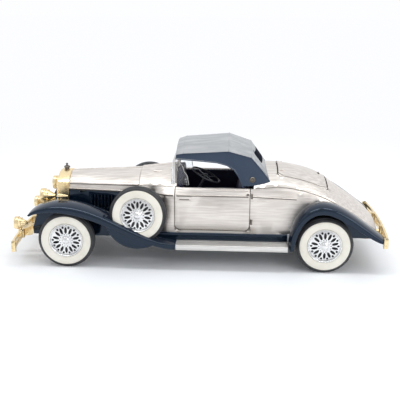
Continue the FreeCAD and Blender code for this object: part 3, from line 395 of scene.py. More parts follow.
def clear_finish():
    """Clear moulded plastic with the faintest waviness."""
    pane = Finish("clear_pane")
    wave = pane.noise(scale=70.0, detail=2.0)
    pane.colour(pane.mix(wave, (0.94, 0.96, 0.97), (0.98, 0.99, 1.0)))
    pane.bump(wave, 0.00004, 0.25)
    pane.plain(Roughness=0.03, IOR=1.2, Transmission_Weight=0.96)
    return pane.material


def smoked_finish():
    pane = Finish("smoked_pane")
    wave = pane.noise(scale=70.0, detail=2.0)
    pane.colour(pane.mix(wave, (0.006, 0.007, 0.012), (0.014, 0.016, 0.026)))
    pane.rough(pane.spread(wave, 0.3, 0.7, 0.35, 0.45))
    pane.plain(Specular_IOR_Level=0.08, IOR=1.04)
    return pane.material


def red_lens_finish():
    lens = Finish("red_lens")
    cells = lens.cells(1400.0)
    lens.colour(lens.mix(lens.spread(cells, 0.1, 0.6), (0.42, 0.015, 0.012), (0.25, 0.006, 0.006)))
    lens.bump(cells, 0.00010, 0.6)
    lens.plain(Roughness=0.12, Coat_Weight=0.5)
    return lens.material


FINISH_OF_SLOT = {
    "pewter": pewter_finish,
    "dark_enamel": enamel_finish,
    "bright_metal": tread_metal_finish,
    "top_vinyl": hood_finish,
    "clear_plastic": clear_finish,
    "smoked_pane": smoked_finish,
    "dark_interior": leather_finish,
    "seat_trim": leather_finish,
    "black_plastic": black_plastic_finish,
    "gold_plate": gold_finish,
    "red_lens": red_lens_finish,
    "dark_metal": dark_metal_finish,
    "steel": steel_finish,
    "wheel_chrome": chrome_finish,
    "tyre_black": rubber_finish,
    "cream_band": cream_finish,
}
FINISHES = {}


def finish_for(slot):
    make = FINISH_OF_SLOT[slot]
    if make not in FINISHES:
        FINISHES[make] = make()
    return FINISHES[make]


BODY_OF_NODE = {n: body for body, names in frame["record"]["behaviour"]["bodies"].items() for n in names}
SLOT_OF_NODE = {row["node"]: row["material_slot"] for row in frame["record"]["subparts"]}


def dress_cad_nodes():
    """Every CAD node gets the finish of its slot; pieces made below replace the main ones."""
    for name, node in NODES.items():
        for index in range(len(node.material_slots)):
            node.material_slots[index].material = finish_for(SLOT_OF_NODE[name])


# ---------------------------------------------------------------------------------------------
# Modelling helpers
# ---------------------------------------------------------------------------------------------
def deselect():
    if bpy.context.object and bpy.context.object.mode != "OBJECT":
        bpy.ops.object.mode_set(mode="OBJECT")
    bpy.ops.object.select_all(action="DESELECT")


def activate(piece):
    deselect()
    piece.select_set(True)
    bpy.context.view_layer.objects.active = piece


def done(piece, name, body, slot, replaces=()):
    """Names a finished piece, gives it its finish and ties it to its body."""
    piece.name = name
    piece.data.name = name
    piece.data.materials.clear()
    piece.data.materials.append(finish_for(slot))
    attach(piece, body)
    if replaces:
        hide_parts(*replaces)
    return piece


def apply_all(piece):
    activate(piece)
    for modifier in list(piece.modifiers):
        bpy.ops.object.modifier_apply(modifier=modifier.name)


def cleaned(piece):
    """Doubles merged and normals turned outwards."""
    activate(piece)
    bpy.ops.object.mode_set(mode="EDIT")
    bpy.ops.mesh.select_all(action="SELECT")
    bpy.ops.mesh.remove_doubles(threshold=1e-6)
    bpy.ops.mesh.normals_make_consistent(inside=False)
    bpy.ops.object.mode_set(mode="OBJECT")
    return piece


def smoothed(piece, degrees=35):
    activate(piece)
    bpy.ops.object.shade_smooth_by_angle(angle=math.radians(degrees))
    return piece


def dressed(node, bevel=0.15, degrees=32, flat_faces=True):
    """A finished copy of a CAD node: merged, its flat faces made whole and its edges rounded."""
    piece = bpy.data.objects.new(f"{node}_shaped", NODES[node].data.copy())
    bpy.context.collection.objects.link(piece)
    activate(piece)
    bpy.ops.object.mode_set(mode="EDIT")
    bpy.ops.mesh.select_all(action="SELECT")
    bpy.ops.mesh.remove_doubles(threshold=2e-6)
    if flat_faces:
        bpy.ops.mesh.dissolve_limited(angle_limit=math.radians(0.8))
    bpy.ops.object.mode_set(mode="OBJECT")
    if bevel:
        rounding = piece.modifiers.new("rounding", "BEVEL")
        rounding.width = bevel * MM
        rounding.segments = 2
        rounding.limit_method = "ANGLE"
        rounding.angle_limit = math.radians(degrees)
        apply_all(piece)
    smoothed(piece, degrees)
    return done(piece, f"{node}_shaped", BODY_OF_NODE[node], SLOT_OF_NODE[node], [node])


DRESSED = {
    "bonnet": 0.20, "bonnet_sides": 0.12, "boot_lid": 0.25,
    "door_left": 0.25, "door_right": 0.25, "radiator_shell": 0.25,
    "side_lamps": 0.0,
    "front_bumper": 0.30, "rear_bumper": 0.30, "front_bumper_irons": 0.25, "rear_bumper_irons": 0.25,
    "windscreen_frame": 0.20, "running_boards": 0.08, "sills": 0.20, "soft_top": 0.45,
}


# ---------------------------------------------------------------------------------------------
# Modelling helpers: turned, bent and shaped pieces, in millimetres
# ---------------------------------------------------------------------------------------------
def from_points(name, points, edges=(), faces=()):
    mesh = bpy.data.meshes.new(name)
    mesh.from_pydata([Vector(p) * MM for p in points], edges, faces)
    piece = bpy.data.objects.new(name, mesh)
    bpy.context.collection.objects.link(piece)
    return piece


def spun(name, profile, centre=(0, 0, 0), axis=(0, 1, 0), steps=72, closed=True):
    """Spins a profile of (radius, distance along the axis) about an axis through the centre."""
    centre = Vector(centre)
    axis = Vector(axis).normalized()
    out = axis.orthogonal().normalized()
    points = [centre + out * radius + axis * along for radius, along in profile]
    count = len(points)
    edges = [(i, i + 1) for i in range(count - 1)]
    if closed:
        edges.append((count - 1, 0))
    piece = from_points(name, points, edges)
    activate(piece)
    bpy.ops.object.mode_set(mode="EDIT")
    bpy.ops.mesh.select_all(action="SELECT")
    bpy.ops.mesh.spin(steps=steps, dupli=False, angle=FULL_TURN, center=centre * MM, axis=axis)
    bpy.ops.object.mode_set(mode="OBJECT")
    return cleaned(piece)


def bent_bar(name, points, radius, cyclic=False, resolution=3):
    """A round bar through the points, with capped ends."""
    curve = bpy.data.curves.new(name, "CURVE")
    curve.dimensions = "3D"
    curve.bevel_depth = radius * MM
    curve.bevel_resolution = resolution
    curve.use_fill_caps = True
    line = curve.splines.new("POLY")
    line.points.add(len(points) - 1)
    for point, place in zip(line.points, points):
        point.co = (*(Vector(place) * MM), 1.0)
    line.use_cyclic_u = cyclic
    piece = bpy.data.objects.new(name, curve)
    bpy.context.collection.objects.link(piece)
    activate(piece)
    bpy.ops.object.convert(target="MESH")
    return smoothed(cleaned(bpy.context.object), 50)


def rounded_block(name, low, high, rounding, segments=3):
    """A block between two corners, its edges rounded in edit mode."""
    low, high = Vector(low), Vector(high)
    deselect()
    bpy.ops.mesh.primitive_cube_add(size=1.0, location=(0, 0, 0))
    piece = bpy.context.object
    bpy.ops.object.mode_set(mode="EDIT")
    bpy.ops.transform.resize(value=(high - low) * MM)
    bpy.ops.transform.translate(value=(low + high) / 2 * MM)
    bpy.ops.mesh.bevel(offset=rounding * MM, segments=segments, affect="EDGES")
    bpy.ops.object.mode_set(mode="OBJECT")
    piece.name = name
    return smoothed(cleaned(piece), 50)


def cut_sheet(name, outline, inner, outer, rounding=0.3):
    """A sheet cut to an outline of (x, z), between two distances from the middle, its edges rounded."""
    piece = from_points(name, [(x, inner, z) for x, z in outline], (), [tuple(range(len(outline)))])
    activate(piece)
    bpy.ops.object.mode_set(mode="EDIT")
    bpy.ops.mesh.select_all(action="SELECT")
    bpy.ops.mesh.extrude_region_move(TRANSFORM_OT_translate={"value": (0, (outer - inner) * MM, 0)})
    bpy.ops.object.mode_set(mode="OBJECT")
    cleaned(piece)
    edge = piece.modifiers.new("rounding", "BEVEL")
    edge.width = rounding * MM
    edge.segments = 2
    apply_all(piece)
    return smoothed(piece, 40)


def sheet_of_rows(name, rows, thickness, levels=2):
    """A smooth skin through rows of points, given a wall and subdivided."""
    across = len(rows[0])
    deselect()
    bpy.ops.mesh.primitive_grid_add(x_subdivisions=across - 1, y_subdivisions=len(rows) - 1, size=1.0)
    piece = bpy.context.object
    piece.name = name
    for row_index, row in enumerate(rows):
        for column, place in enumerate(row):
            piece.data.vertices[row_index * across + column].co = Vector(place) * MM
    wall = piece.modifiers.new("wall", "SOLIDIFY")
    wall.thickness = thickness * MM
    wall.offset = 0.0
    wall.use_even_offset = True
    rounding = piece.modifiers.new("rounding", "SUBSURF")
    rounding.levels = levels
    rounding.render_levels = levels
    apply_all(piece)
    cleaned(piece)
    return smoothed(piece, 60)


def joined(pieces):
    activate(pieces[0])
    for piece in pieces:
        piece.select_set(True)
    bpy.ops.object.join()
    return bpy.context.object


def copied(piece, place=None):
    twin = piece.copy()
    twin.data = piece.data.copy()
    bpy.context.collection.objects.link(twin)
    if place is not None:
        twin.data.transform(place)
    return twin


def shift(x=0.0, y=0.0, z=0.0):
    return Matrix.Translation(Vector((x, y, z)) * MM)


def mirrored(piece):
    """A copy on the other side of the car."""
    twin = copied(piece, Matrix.Diagonal((1, -1, 1, 1)))
    activate(twin)
    bpy.ops.object.mode_set(mode="EDIT")
    bpy.ops.mesh.select_all(action="SELECT")
    bpy.ops.mesh.flip_normals()
    bpy.ops.object.mode_set(mode="OBJECT")
    return twin


def on_both_sides(piece, name, slot, left_body="car", right_body="car", left_nodes=(), right_nodes=()):
    twin = mirrored(piece)
    done(piece, f"{name}_left", left_body, slot, left_nodes)
    done(twin, f"{name}_right", right_body, slot, right_nodes)


class Skin:
    """The outer surface of some CAD nodes, to lay trim on."""

    def __init__(self, *nodes):
        self.trees = []
        for node in nodes:
            mesh = NODES[node].data
            corners = [v.co.copy() for v in mesh.vertices]
            self.trees.append(BVHTree.FromPolygons(corners, [tuple(p.vertices) for p in mesh.polygons]))

    def hit(self, start, way, stand):
        spots = []
        for tree in self.trees:
            place, normal, _, distance = tree.ray_cast(Vector(start) * MM, Vector(way))
            if place is not None:
                spots.append((distance, place / MM - Vector(way) * stand))
        return min(spots, key=lambda spot: spot[0])[1] if spots else None

    def side(self, x, z, stand=0.0):
        """The point on the left side at this place, standing proud by a little."""
        return self.hit((x, 80.0, z), (0, -1, 0), stand)

    def top(self, x, y, stand=0.0):
        return self.hit((x, y, 120.0), (0, 0, -1), stand)


def steps(start, end, count):
    return [start + (end - start) * index / (count - 1) for index in range(count)]


def bounds_mm(node):
    low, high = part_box(node)
    return low / MM, high / MM


def middle_mm(node):
    low, high = bounds_mm(node)
    return (low + high) / 2


# ---------------------------------------------------------------------------------------------
# Wheels: modelled once about the Y axis, facing +Y, then copied to the six places
# ---------------------------------------------------------------------------------------------
TYRE_HALF = 4.0
RIM_RADIUS = 10.9
SPOKES = 14
SPARE_TILT = 5.0


def tyre_profile():
    """Bead, plain inner sidewall, three-rib tread, and the recess that holds the white band."""
    inner_side = [(10.9, -3.2), (11.5, -3.75), (13.2, -4.0), (15.2, -3.95), (16.7, -3.4), (17.5, -2.6)]
    tread = []
    for middle in (-1.5, 0.0, 1.5):
        tread += [(17.6, middle - 0.78), (18.0, middle - 0.58), (18.0, middle + 0.58), (17.6, middle + 0.78)]
    outer_side = [(17.5, 2.6), (16.9, 3.3), (16.2, 3.75), (15.95, 3.8), (15.9, 3.1), (10.9, 3.0)]
    return inner_side + tread + outer_side


BAND_PROFILE = [(15.87, 3.0), (15.87, 3.82), (15.6, 3.98), (14.6, 4.08), (12.6, 4.0), (11.4, 3.75),
                (11.0, 3.5), (10.92, 2.9)]
RIM_PROFILE = [(10.88, -3.2), (10.88, 3.7), (10.7, 3.95), (10.35, 4.0), (10.1, 3.8), (9.75, 3.05),
               (9.6, 2.2), (9.6, -3.2)]
DISC_PROFILE = [(9.7, 1.9), (9.7, 2.75), (8.9, 3.0), (6.8, 3.3), (4.6, 3.45), (3.3, 3.5), (0.0, 3.5), (0.0, 1.9)]
HUB_PROFILE = [(0.0, 2.6), (3.05, 2.6), (3.05, 3.75), (2.85, 4.05), (2.3, 4.2), (2.15, 4.35), (1.9, 4.75),
               (1.2, 5.05), (0.5, 5.18), (0.0, 5.2)]
BACKING_PROFILE = [(0.0, -2.4), (9.65, -2.4), (9.65, 0.9), (3.0, 1.1), (0.0, 1.1)]


def opening_cutter(radius, wide, long, turn):
    """A lens-shaped plug that cuts one opening of the wheel's disc."""
    deselect()
    bpy.ops.mesh.primitive_cylinder_add(vertices=14, radius=1.0, depth=1.0)
    plug = bpy.context.object
    plug.data.transform(Matrix.Rotation(math.radians(90), 4, "X"))
    plug.data.transform(Matrix.Diagonal((wide / 2 * MM, 6 * MM, long / 2 * MM, 1)))
    plug.data.transform(shift(0, 2.5, radius))
    plug.data.transform(Matrix.Rotation(turn, 4, "Y"))
    return plug


def make_wheel_disc():
    disc = spun("wheel_disc", DISC_PROFILE, closed=False, steps=112)
    pitch = FULL_TURN / SPOKES
    plugs = []
    for index in range(SPOKES):
        plugs.append(opening_cutter(6.55, 1.75, 4.3, pitch * index))
        plugs.append(opening_cutter(8.5, 1.4, 1.6, pitch * (index + 0.5)))
        plugs.append(opening_cutter(3.95, 0.6, 0.7, pitch * (index + 0.5)))
    cutter = joined(plugs)
    drill = disc.modifiers.new("openings", "BOOLEAN")
    drill.operation = "DIFFERENCE"
    drill.object = cutter
    drill.solver = "EXACT"
    apply_all(disc)
    bpy.data.objects.remove(cutter)
    return smoothed(cleaned(disc), 30)


def make_wheels():
    rim = smoothed(spun("rim", RIM_PROFILE, steps=96), 40)
    hub = smoothed(spun("hub", HUB_PROFILE, closed=False, steps=48), 40)
    plated = joined([make_wheel_disc(), rim, hub])
    backing = smoothed(spun("backing", BACKING_PROFILE, closed=False, steps=48), 40)
    tyre = smoothed(spun("tyre", tyre_profile(), steps=120), 32)
    band = smoothed(spun("band", BAND_PROFILE, steps=120), 60)
    for end, body in (("front", "front_wheelset"), ("rear", "rear_wheelset"), ("spare", None)):
        for side in ("left", "right"):
            centre = middle_mm(f"tyre_{end}_{side}")
            turn = Matrix.Rotation(math.radians(SPARE_TILT), 4, "X") if end == "spare" else Matrix.Identity(4)
            if side == "right":
                turn = Matrix.Rotation(math.pi, 4, "Z") @ turn
            place = shift(*centre) @ turn
            carrier = body or f"{side}_spare"
            key = f"{end}_{side}"
            done(copied(plated, place), f"wire_wheel_{key}", carrier, "wheel_chrome", [f"wheel_{key}"])
            done(copied(backing, place), f"wheel_backing_{key}", carrier, "black_plastic")
            done(copied(tyre, place), f"ribbed_tyre_{key}", carrier, "tyre_black", [f"tyre_{key}"])
            whole = f"whitewall_spare_{side}" if end == "spare" else f"whitewalls_{end}"
            done(copied(band, place), f"white_band_{key}", carrier, "cream_band", [whole])
    for piece in (plated, backing, tyre, band):
        bpy.data.objects.remove(piece)


# ---------------------------------------------------------------------------------------------
# Fenders: a smooth skin with a rolled lip, the apron behind it and the well for the spare
# ---------------------------------------------------------------------------------------------
FENDER_EDGE = 41.5
# each row: inner y, then the crown's x and z, how far the inner edge and the lip drop, and the side band
FRONT_FENDER = [
    (25.5, 107.6, 34.6, 0.5, 0.4, 0.5),
    (23.2, 106.0, 36.4, 0.9, 0.7, 0.8),
    (22.0, 102.8, 38.6, 1.5, 1.3, 1.4),
    (22.0, 96.0, 41.4, 2.2, 2.2, 2.2),
    (22.0, 86.0, 42.6, 2.6, 2.9, 2.8),
    (22.0, 76.0, 41.2, 2.8, 2.9, 3.0),
    (22.0, 66.0, 38.2, 2.8, 2.7, 3.2),
    (22.4, 56.0, 33.6, 2.4, 2.2, 2.8),
    (23.4, 46.0, 28.4, 2.0, 1.8, 2.5),
    (25.5, 36.0, 23.3, 1.6, 1.4, 2.3),
    (28.0, 26.0, 19.3, 1.2, 1.0, 2.3),
    (30.0, 18.0, 17.7, 0.8, 0.6, 2.5),
    (30.6, 13.8, 17.3, 0.6, 0.4, 2.6),
]
REAR_FENDER = [
    (28.0, -58.0, 14.4, 0.5, 0.9, 1.2),
    (27.5, -57.8, 18.0, 0.6, 1.2, 1.6),
    (27.0, -58.2, 24.0, 0.8, 1.5, 2.0),
    (27.0, -60.8, 33.6, 1.0, 2.0, 2.3),
    (27.0, -66.8, 41.4, 1.1, 2.5, 2.6),
    (27.0, -76.0, 45.6, 1.2, 2.8, 2.8),
    (27.0, -86.4, 43.6, 0.6, 2.2, 3.0),
    (26.6, -96.8, 37.6, 0.5, 2.0, 3.0),
    (25.6, -107.2, 30.0, 0.5, 1.8, 2.6),
    (24.6, -114.6, 24.8, 0.9, 1.6, 1.8),
    (24.4, -118.0, 22.2, 0.7, 0.9, 1.0),
]


def fender_rows(table):
    rows = []
    for index, (inner_y, x, z, inner_drop, lip_drop, band) in enumerate(table):
        before, after = table[max(index - 1, 0)], table[min(index + 1, len(table) - 1)]
        run = Vector((after[1] - before[1], 0, after[2] - before[2])).normalized()
        inward = Vector((-run.z, 0, run.x))
        wide = FENDER_EDGE - inner_y
        section = [
            (0.0, inner_drop), (0.18, inner_drop * 0.5), (0.38, inner_drop * 0.12), (0.58, 0.0),
            (0.76, lip_drop * 0.18), (0.89, lip_drop * 0.48), (0.955, lip_drop * 0.72), (0.985, lip_drop * 0.92),
            (1.0, lip_drop * 1.2), (1.0, lip_drop + band * 0.6), (0.99, lip_drop + band),
            (0.965, lip_drop + band + 0.1),
        ]
        crown = Vector((x, 0, z))
        rows.append([crown + inward * drop + Vector((0, inner_y + wide * share, 0)) for share, drop in section])
    return rows


def lip_bead(table, name):
    """The raised line that runs along a fender's outer edge."""
    rows = fender_rows(table)
    return bent_bar(name, [row[7] + Vector((0, 0.05, 0.12)) for row in rows], 0.32)


FRONT_APRON = [(109.2, 16.4), (109.6, 20.5), (106.6, 30.0), (104.0, 35.0), (96.0, 39.0), (86.0, 40.0), (76.0, 38.4),
               (66.0, 35.2), (56.4, 30.6), (46.0, 25.0), (36.0, 20.0), (36.0, 16.0), (70.0, 16.0), (96.0, 16.0)]
REAR_LINER = [(-59.4, 14.6), (-59.6, 24.0), (-62.2, 33.6), (-68.0, 40.9), (-76.0, 44.6), (-86.0, 43.2),
              (-96.0, 37.2), (-106.0, 29.4), (-112.0, 24.2), (-112.0, 20.6), (-98.0, 20.6), (-98.0, 16.0)]


def below_fender(piece):
    """Cuts away what would stand above the sweep of the front fender."""
    activate(piece)
    bpy.ops.object.mode_set(mode="EDIT")
    bpy.ops.mesh.select_all(action="SELECT")
    slope = Vector((24.0, 0, 13.4)).normalized()
    above = Vector((-slope.z, 0, slope.x))
    bpy.ops.mesh.bisect(plane_co=Vector((36.0, 0, 22.0)) * MM, plane_no=above, clear_outer=True, use_fill=True)
    bpy.ops.object.mode_set(mode="OBJECT")
    return smoothed(cleaned(piece), 40)


def make_fenders():
    front_skin = sheet_of_rows("front_skin", fender_rows(FRONT_FENDER), 0.9)
    apron = cut_sheet("apron", FRONT_APRON, 21.6, 22.9)
    spare = middle_mm("tyre_spare_left")
    tilt = Vector((0, math.cos(math.radians(SPARE_TILT)), math.sin(math.radians(SPARE_TILT))))
    well_profile = [(0.0, -5.4), (20.6, -5.4), (21.4, -4.6), (21.5, 4.6), (21.1, 5.2), (20.5, 5.0), (20.3, -4.3),
                    (0.0, -4.3)]
    well = spun("well", well_profile, spare, tilt, steps=96, closed=False)
    face_profile = [(0.0, 4.6), (20.4, 4.6), (21.1, 4.9), (21.0, 5.3), (20.2, 5.6), (16.0, 5.7), (0.0, 5.7)]
    face = spun("well_face", face_profile, spare, tilt, steps=96, closed=False)
    for piece in (well, face):
        below_fender(piece)
    front = joined([front_skin, apron, well, face, lip_bead(FRONT_FENDER, "front_bead")])
    on_both_sides(front, "winged_front_fender", "dark_enamel", left_nodes=["front_fender_left"],
                  right_nodes=["front_fender_right"])
    rear_skin = sheet_of_rows("rear_skin", fender_rows(REAR_FENDER), 0.9)
    liner = cut_sheet("liner", REAR_LINER, 28.4, 30.0)
    rear = joined([rear_skin, liner, lip_bead(REAR_FENDER, "rear_bead")])
    on_both_sides(rear, "arched_rear_fender", "dark_enamel", left_nodes=["rear_fender_left"],
                  right_nodes=["rear_fender_right"])


# ---------------------------------------------------------------------------------------------
# Body trim
# ---------------------------------------------------------------------------------------------
DOOR_FRONT, DOOR_REAR = 15.0, -32.4
BELT_LOW, BELT_HIGH = 46.6, 51.4
MOULDING = 0.34
# radius of the dark bars that paint the shade under the mouldings
SHADE_LINE_RADIUS = 0.30


def belt_points(skin, start, end, low, high, count):
    """Points of a moulding on the left side, its height changing evenly from low to high."""
    rows = zip(steps(start, end, count), steps(low, high, count))
    return [skin.side(x, z, 0.05) for x, z in rows]


REAR_SHOULDER = [(-36.0, 51.4), (-43.0, 52.0), (-50.0, 52.6), (-58.0, 51.9), (-66.0, 50.3), (-73.0, 48.2),
                 (-80.0, 45.6), (-86.0, 42.7), (-92.0, 39.0), (-98.0, 35.1), (-103.0, 31.7), (-108.0, 28.5)]


def make_painted_shade_lines():
    """Painted shade: dark lines laid where shade falls under the belt, and along the foot of the bonnet's shoulders.
    """
    bonnet = Skin("bonnet", "bonnet_sides")
    shell = Skin("body_shell")
    fixed = [
        bent_bar("line", belt_points(bonnet, 86.0, 39.6, 45.0, 45.6, 12), SHADE_LINE_RADIUS),
        bent_bar("line", belt_points(bonnet, 86.0, 39.6, 48.5, 49.8, 12), SHADE_LINE_RADIUS * 0.6),
        bent_bar("line", belt_points(shell, 38.6, 16.2, 45.6, 46.3, 9), SHADE_LINE_RADIUS),
        bent_bar("line", belt_points(shell, -33.4, -62.0, 46.4, 44.9, 12), SHADE_LINE_RADIUS * 0.7),
    ]
    # painted shade along the rear deck's shoulder
    fixed.append(bent_bar("line", [shell.side(x, z, 0.02) for x, z in REAR_SHOULDER], SHADE_LINE_RADIUS * 0.8))
    on_both_sides(joined(fixed), "belt_shade_line", "dark_metal")
    door = Skin("door_left")
    # painted shade under the door's belt moulding
    swinging = bent_bar("line", belt_points(door, 14.2, -31.6, 46.3, 46.3, 3), SHADE_LINE_RADIUS)
    on_both_sides(swinging, "door_shade_line", "dark_metal", "left_door", "right_door")


def make_belt_mouldings():
    """Two raised lines from the radiator to the tail, split at the doors."""
    bonnet = Skin("bonnet", "bonnet_sides")
    shell = Skin("body_shell")
    fixed = [
        bent_bar("line", belt_points(bonnet, 86.0, 39.6, 45.6, 46.2, 12), MOULDING),
        bent_bar("line", belt_points(bonnet, 86.0, 39.6, 49.0, 50.3, 12), MOULDING * 0.9),
        bent_bar("line", belt_points(shell, 38.6, 16.2, 46.2, 46.9, 9), MOULDING),
        bent_bar("line", belt_points(shell, 38.6, 16.2, 50.3, 51.3, 9), MOULDING * 0.9),
        bent_bar("line", belt_points(shell, -33.4, -62.0, 46.9, 45.4, 12), MOULDING * 0.8),
        bent_bar("line", belt_points(shell, -33.4, -58.0, 43.6, 43.6, 12), MOULDING * 0.6),
    ]
    on_both_sides(joined(fixed), "belt_moulding", "pewter")
    door = Skin("door_left")
    swinging = [
        bent_bar("line", belt_points(door, 14.0, -31.4, 46.9, 46.9, 3), MOULDING),
        bent_bar("line", belt_points(door, 14.0, -31.4, 50.0, 50.0, 3), MOULDING * 0.8),
    ]
    on_both_sides(joined(swinging), "door_moulding", "pewter", "left_door", "right_door")


def make_door_handles():
    """A recessed-looking bar handle near the door's front edge: a raised frame round a dark bar."""
    door = Skin("door_left")
    face = door.side(8.0, 43.0).y
    low, high = Vector((4.6, face - 0.15, 43.1)), Vector((12.8, face + 0.2, 45.2))
    frame_path = [(low.x, face + 0.05, low.z), (high.x, face + 0.05, low.z), (high.x, face + 0.05, high.z),
                  (low.x, face + 0.05, high.z)]
    rim = bent_bar("handle_rim", frame_path, 0.22, cyclic=True)
    on_both_sides(rim, "handle_frame", "pewter", "left_door", "right_door")
    bar = rounded_block("handle_bar", (low.x + 1.3, face - 0.1, 43.75), (high.x - 0.6, face + 0.55, 44.65), 0.28)
    on_both_sides(bar, "handle_bar", "dark_metal", "left_door", "right_door")
    knob = spun("hinge_knob", [(0.0, 0.0), (0.75, 0.0), (0.75, 0.5), (0.5, 0.85), (0.0, 0.95)],
                (-31.2, face - 0.1, 47.9), closed=False, steps=24)
    on_both_sides(smoothed(knob, 40), "hinge_knob", "dark_metal", "left_door", "right_door")


GAP_SHADOW = 0.42


def make_door_seams():
    """The dark line round each door: partly the patina in the gap, partly painted shade in place of the shade inside
    the gap.
    """
    shell = Skin("body_shell", "door_left", "sills")
    front, rear, low, high, corner = DOOR_FRONT + 0.15, DOOR_REAR - 0.15, 23.9, 46.4, 3.2
    path = [(front, high), (front, low + corner), (front - 0.9, low + 0.9), (front - corner, low)]
    path += [(x, low) for x in steps(front - 8.0, rear + 8.0, 6)]
    path += [(rear + corner, low), (rear + 0.9, low + 0.9), (rear, low + corner), (rear, high)]
    spots = []
    for x, z in path:
        place = shell.side(x, z)
        spots.append((x, 29.72 if place is None else min(place.y, 29.95) - 0.02, z))
    seam = bent_bar("seam", spots, GAP_SHADOW)
    on_both_sides(seam, "door_seam", "dark_metal")


def make_cowl_trim():
    """The oval vent on the cowl, the hinge bead along each bonnet shoulder and the centre hinge."""
    shell = Skin("body_shell")
    vent_centre = shell.top(27.5, 10.5)
    vent = spun("vent", [(0.0, -0.6), (1.0, -0.6), (1.0, 0.25), (0.85, 0.42), (0.0, 0.42)], vent_centre, (0, 0, 1),
                closed=False, steps=32)
    centre = Vector(vent_centre) * MM
    stretch = Matrix.Translation(centre) @ Matrix.Diagonal((3.4, 1.5, 1.0, 1.0)) @ Matrix.Translation(-centre)
    vent.data.transform(stretch)
    lean = Matrix.Translation(centre) @ Matrix.Rotation(math.radians(-14), 4, "X") @ Matrix.Translation(-centre)
    vent.data.transform(lean)
    done(smoothed(vent, 40), "cowl_vent", "car", "pewter")
    bonnet = Skin("bonnet")
    knuckles = []
    for x in steps(85.4, 40.4, 46):
        place = bonnet.side(x, 50.2 + (86.0 - x) * 0.022)
        if place is not None:
            knuckles.append(rounded_block("knuckle", place - Vector((0.33, 0.5, 0.35)),
                                          place + Vector((0.33, 0.12, 0.35)), 0.1, 1))
    on_both_sides(joined(knuckles), "bonnet_hinge", "pewter")
    ridge = [bonnet.top(x, 0.0, 0.05) for x in steps(86.0, 39.8, 14)]
    ridge += [shell.top(x, 0.0, 0.05) for x in steps(38.8, 16.4, 6)]
    done(bent_bar("ridge", ridge, 0.28), "centre_hinge", "car", "pewter")


def make_louvres():
    """A row of pressed louvres on each bonnet side: sloping leaves over the slots."""
    skin = Skin("bonnet_sides")
    leaves = []
    for index in range(12):
        x = 70.6 - 2.3 * index
        spots = []
        for z in (33.4, 34.4, 38.0, 41.6, 42.6):
            place = skin.side(x + 0.75, z)
            if place is None:
                place = skin.side(x + 1.3, z)
            if place is not None:
                spots.append(place)
        if len(spots) > 2:
            leaves.append(bent_bar("leaf", spots, 0.42))
    on_both_sides(joined(leaves), "bonnet_louvres", "dark_enamel")


def make_boot_trim():
    """The dark seam round the boot lid and its two external hinges at the front edge."""
    lid = Skin("boot_lid")
    low, high = bounds_mm("boot_lid")
    edge, front, rear = high.y - 0.25, high.x - 0.25, low.x + 0.35
    outline = [(x, edge) for x in steps(front, rear, 9)] + [(rear, y) for y in steps(edge - 3.0, 3.0 - edge, 7)]
    outline += [(x, -edge) for x in steps(rear, front, 9)] + [(front, y) for y in steps(3.0 - edge, edge - 3.0, 7)]
    spots = [lid.top(x, y, 0.0) for x, y in outline]
    seam = bent_bar("seam", [spot for spot in spots if spot is not None], 0.22, cyclic=True)
    done(seam, "boot_seam", "boot", "dark_metal")
    hinges = []
    for y in (-12.0, 12.0):
        place = lid.top(-51.6, y)
        hinges.append(rounded_block("leaf", place + Vector((-3.0, -0.8, -0.3)), place + Vector((0.5, 0.8, 0.22)), 0.2, 2))
    done(joined(hinges), "boot_hinge_leaves", "boot", "pewter")


# ---------------------------------------------------------------------------------------------
# Soft top
# ---------------------------------------------------------------------------------------------
TOP = [
    (14.8, 71.6, 76.4),
    (10.0, 72.4, 78.2),
    (-18.6, 74.2, 80.8),
    (-33.0, 70.4, 75.8),
    (-39.4, 62.9, 67.0),
    (-45.6, 54.6, 58.0),
]
TOP_CREASE, TOP_RAIL, TOP_FOOT = 24.2, 27.2, 46.0
RAIL_LINE = [(14.6, 68.9), (-0.7, 67.8), (-11.4, 66.9), (-17.7, 65.3), (-22.1, 62.6), (-25.2, 58.2), (-28.1, 51.4)]


def make_top_trim():
    """Piping on the creases, binding round the side openings and the landau buttons."""
    skin = Skin("soft_top")
    crease = [(x, TOP_CREASE + 0.05, z) for x, z, _ in TOP[:-1]] + [(-44.9, TOP_CREASE, 55.6)]
    binding = []
    for x, z in RAIL_LINE:
        share = (z - TOP_FOOT) / (72.0 - TOP_FOOT)
        binding.append((x, TOP_RAIL + (TOP_CREASE - TOP_RAIL) * share - 0.15, z + 0.15))
    pipes = [bent_bar("pipe", crease, 0.34), bent_bar("binding", binding, 0.42)]
    on_both_sides(joined(pipes), "top_piping", "top_vinyl")
    bows = []
    for x, _, crown in TOP[1:4]:
        arch = []
        for y in steps(-TOP_CREASE + 0.6, TOP_CREASE - 0.6, 9):
            place = skin.top(x, y, -0.12)
            if place is not None:
                arch.append(place)
        bows.append(bent_bar("bow", arch, 0.3))
    done(joined(bows), "top_bows", "car", "top_vinyl")
    button = [(0.0, -0.4), (1.75, -0.4), (1.8, 0.15), (1.5, 0.45), (1.15, 0.4), (0.95, 0.1), (0.0, 0.1)]
    left = smoothed(spun("button", button, (-33.9, 26.05, 56.6), (0, 1, 0.1), closed=False, steps=36), 35)
    on_both_sides(left, "landau_button", "dark_metal", left_nodes=["landau_buttons"], right_nodes=["landau_buttons"])
    eye = smoothed(spun("eye", [(0.0, 0.0), (0.95, 0.0), (0.8, 0.3), (0.0, 0.42)], (-33.9, 26.05, 56.6), (0, 1, 0.1),
                        closed=False, steps=24), 35)
    on_both_sides(eye, "button_eye", "dark_metal")


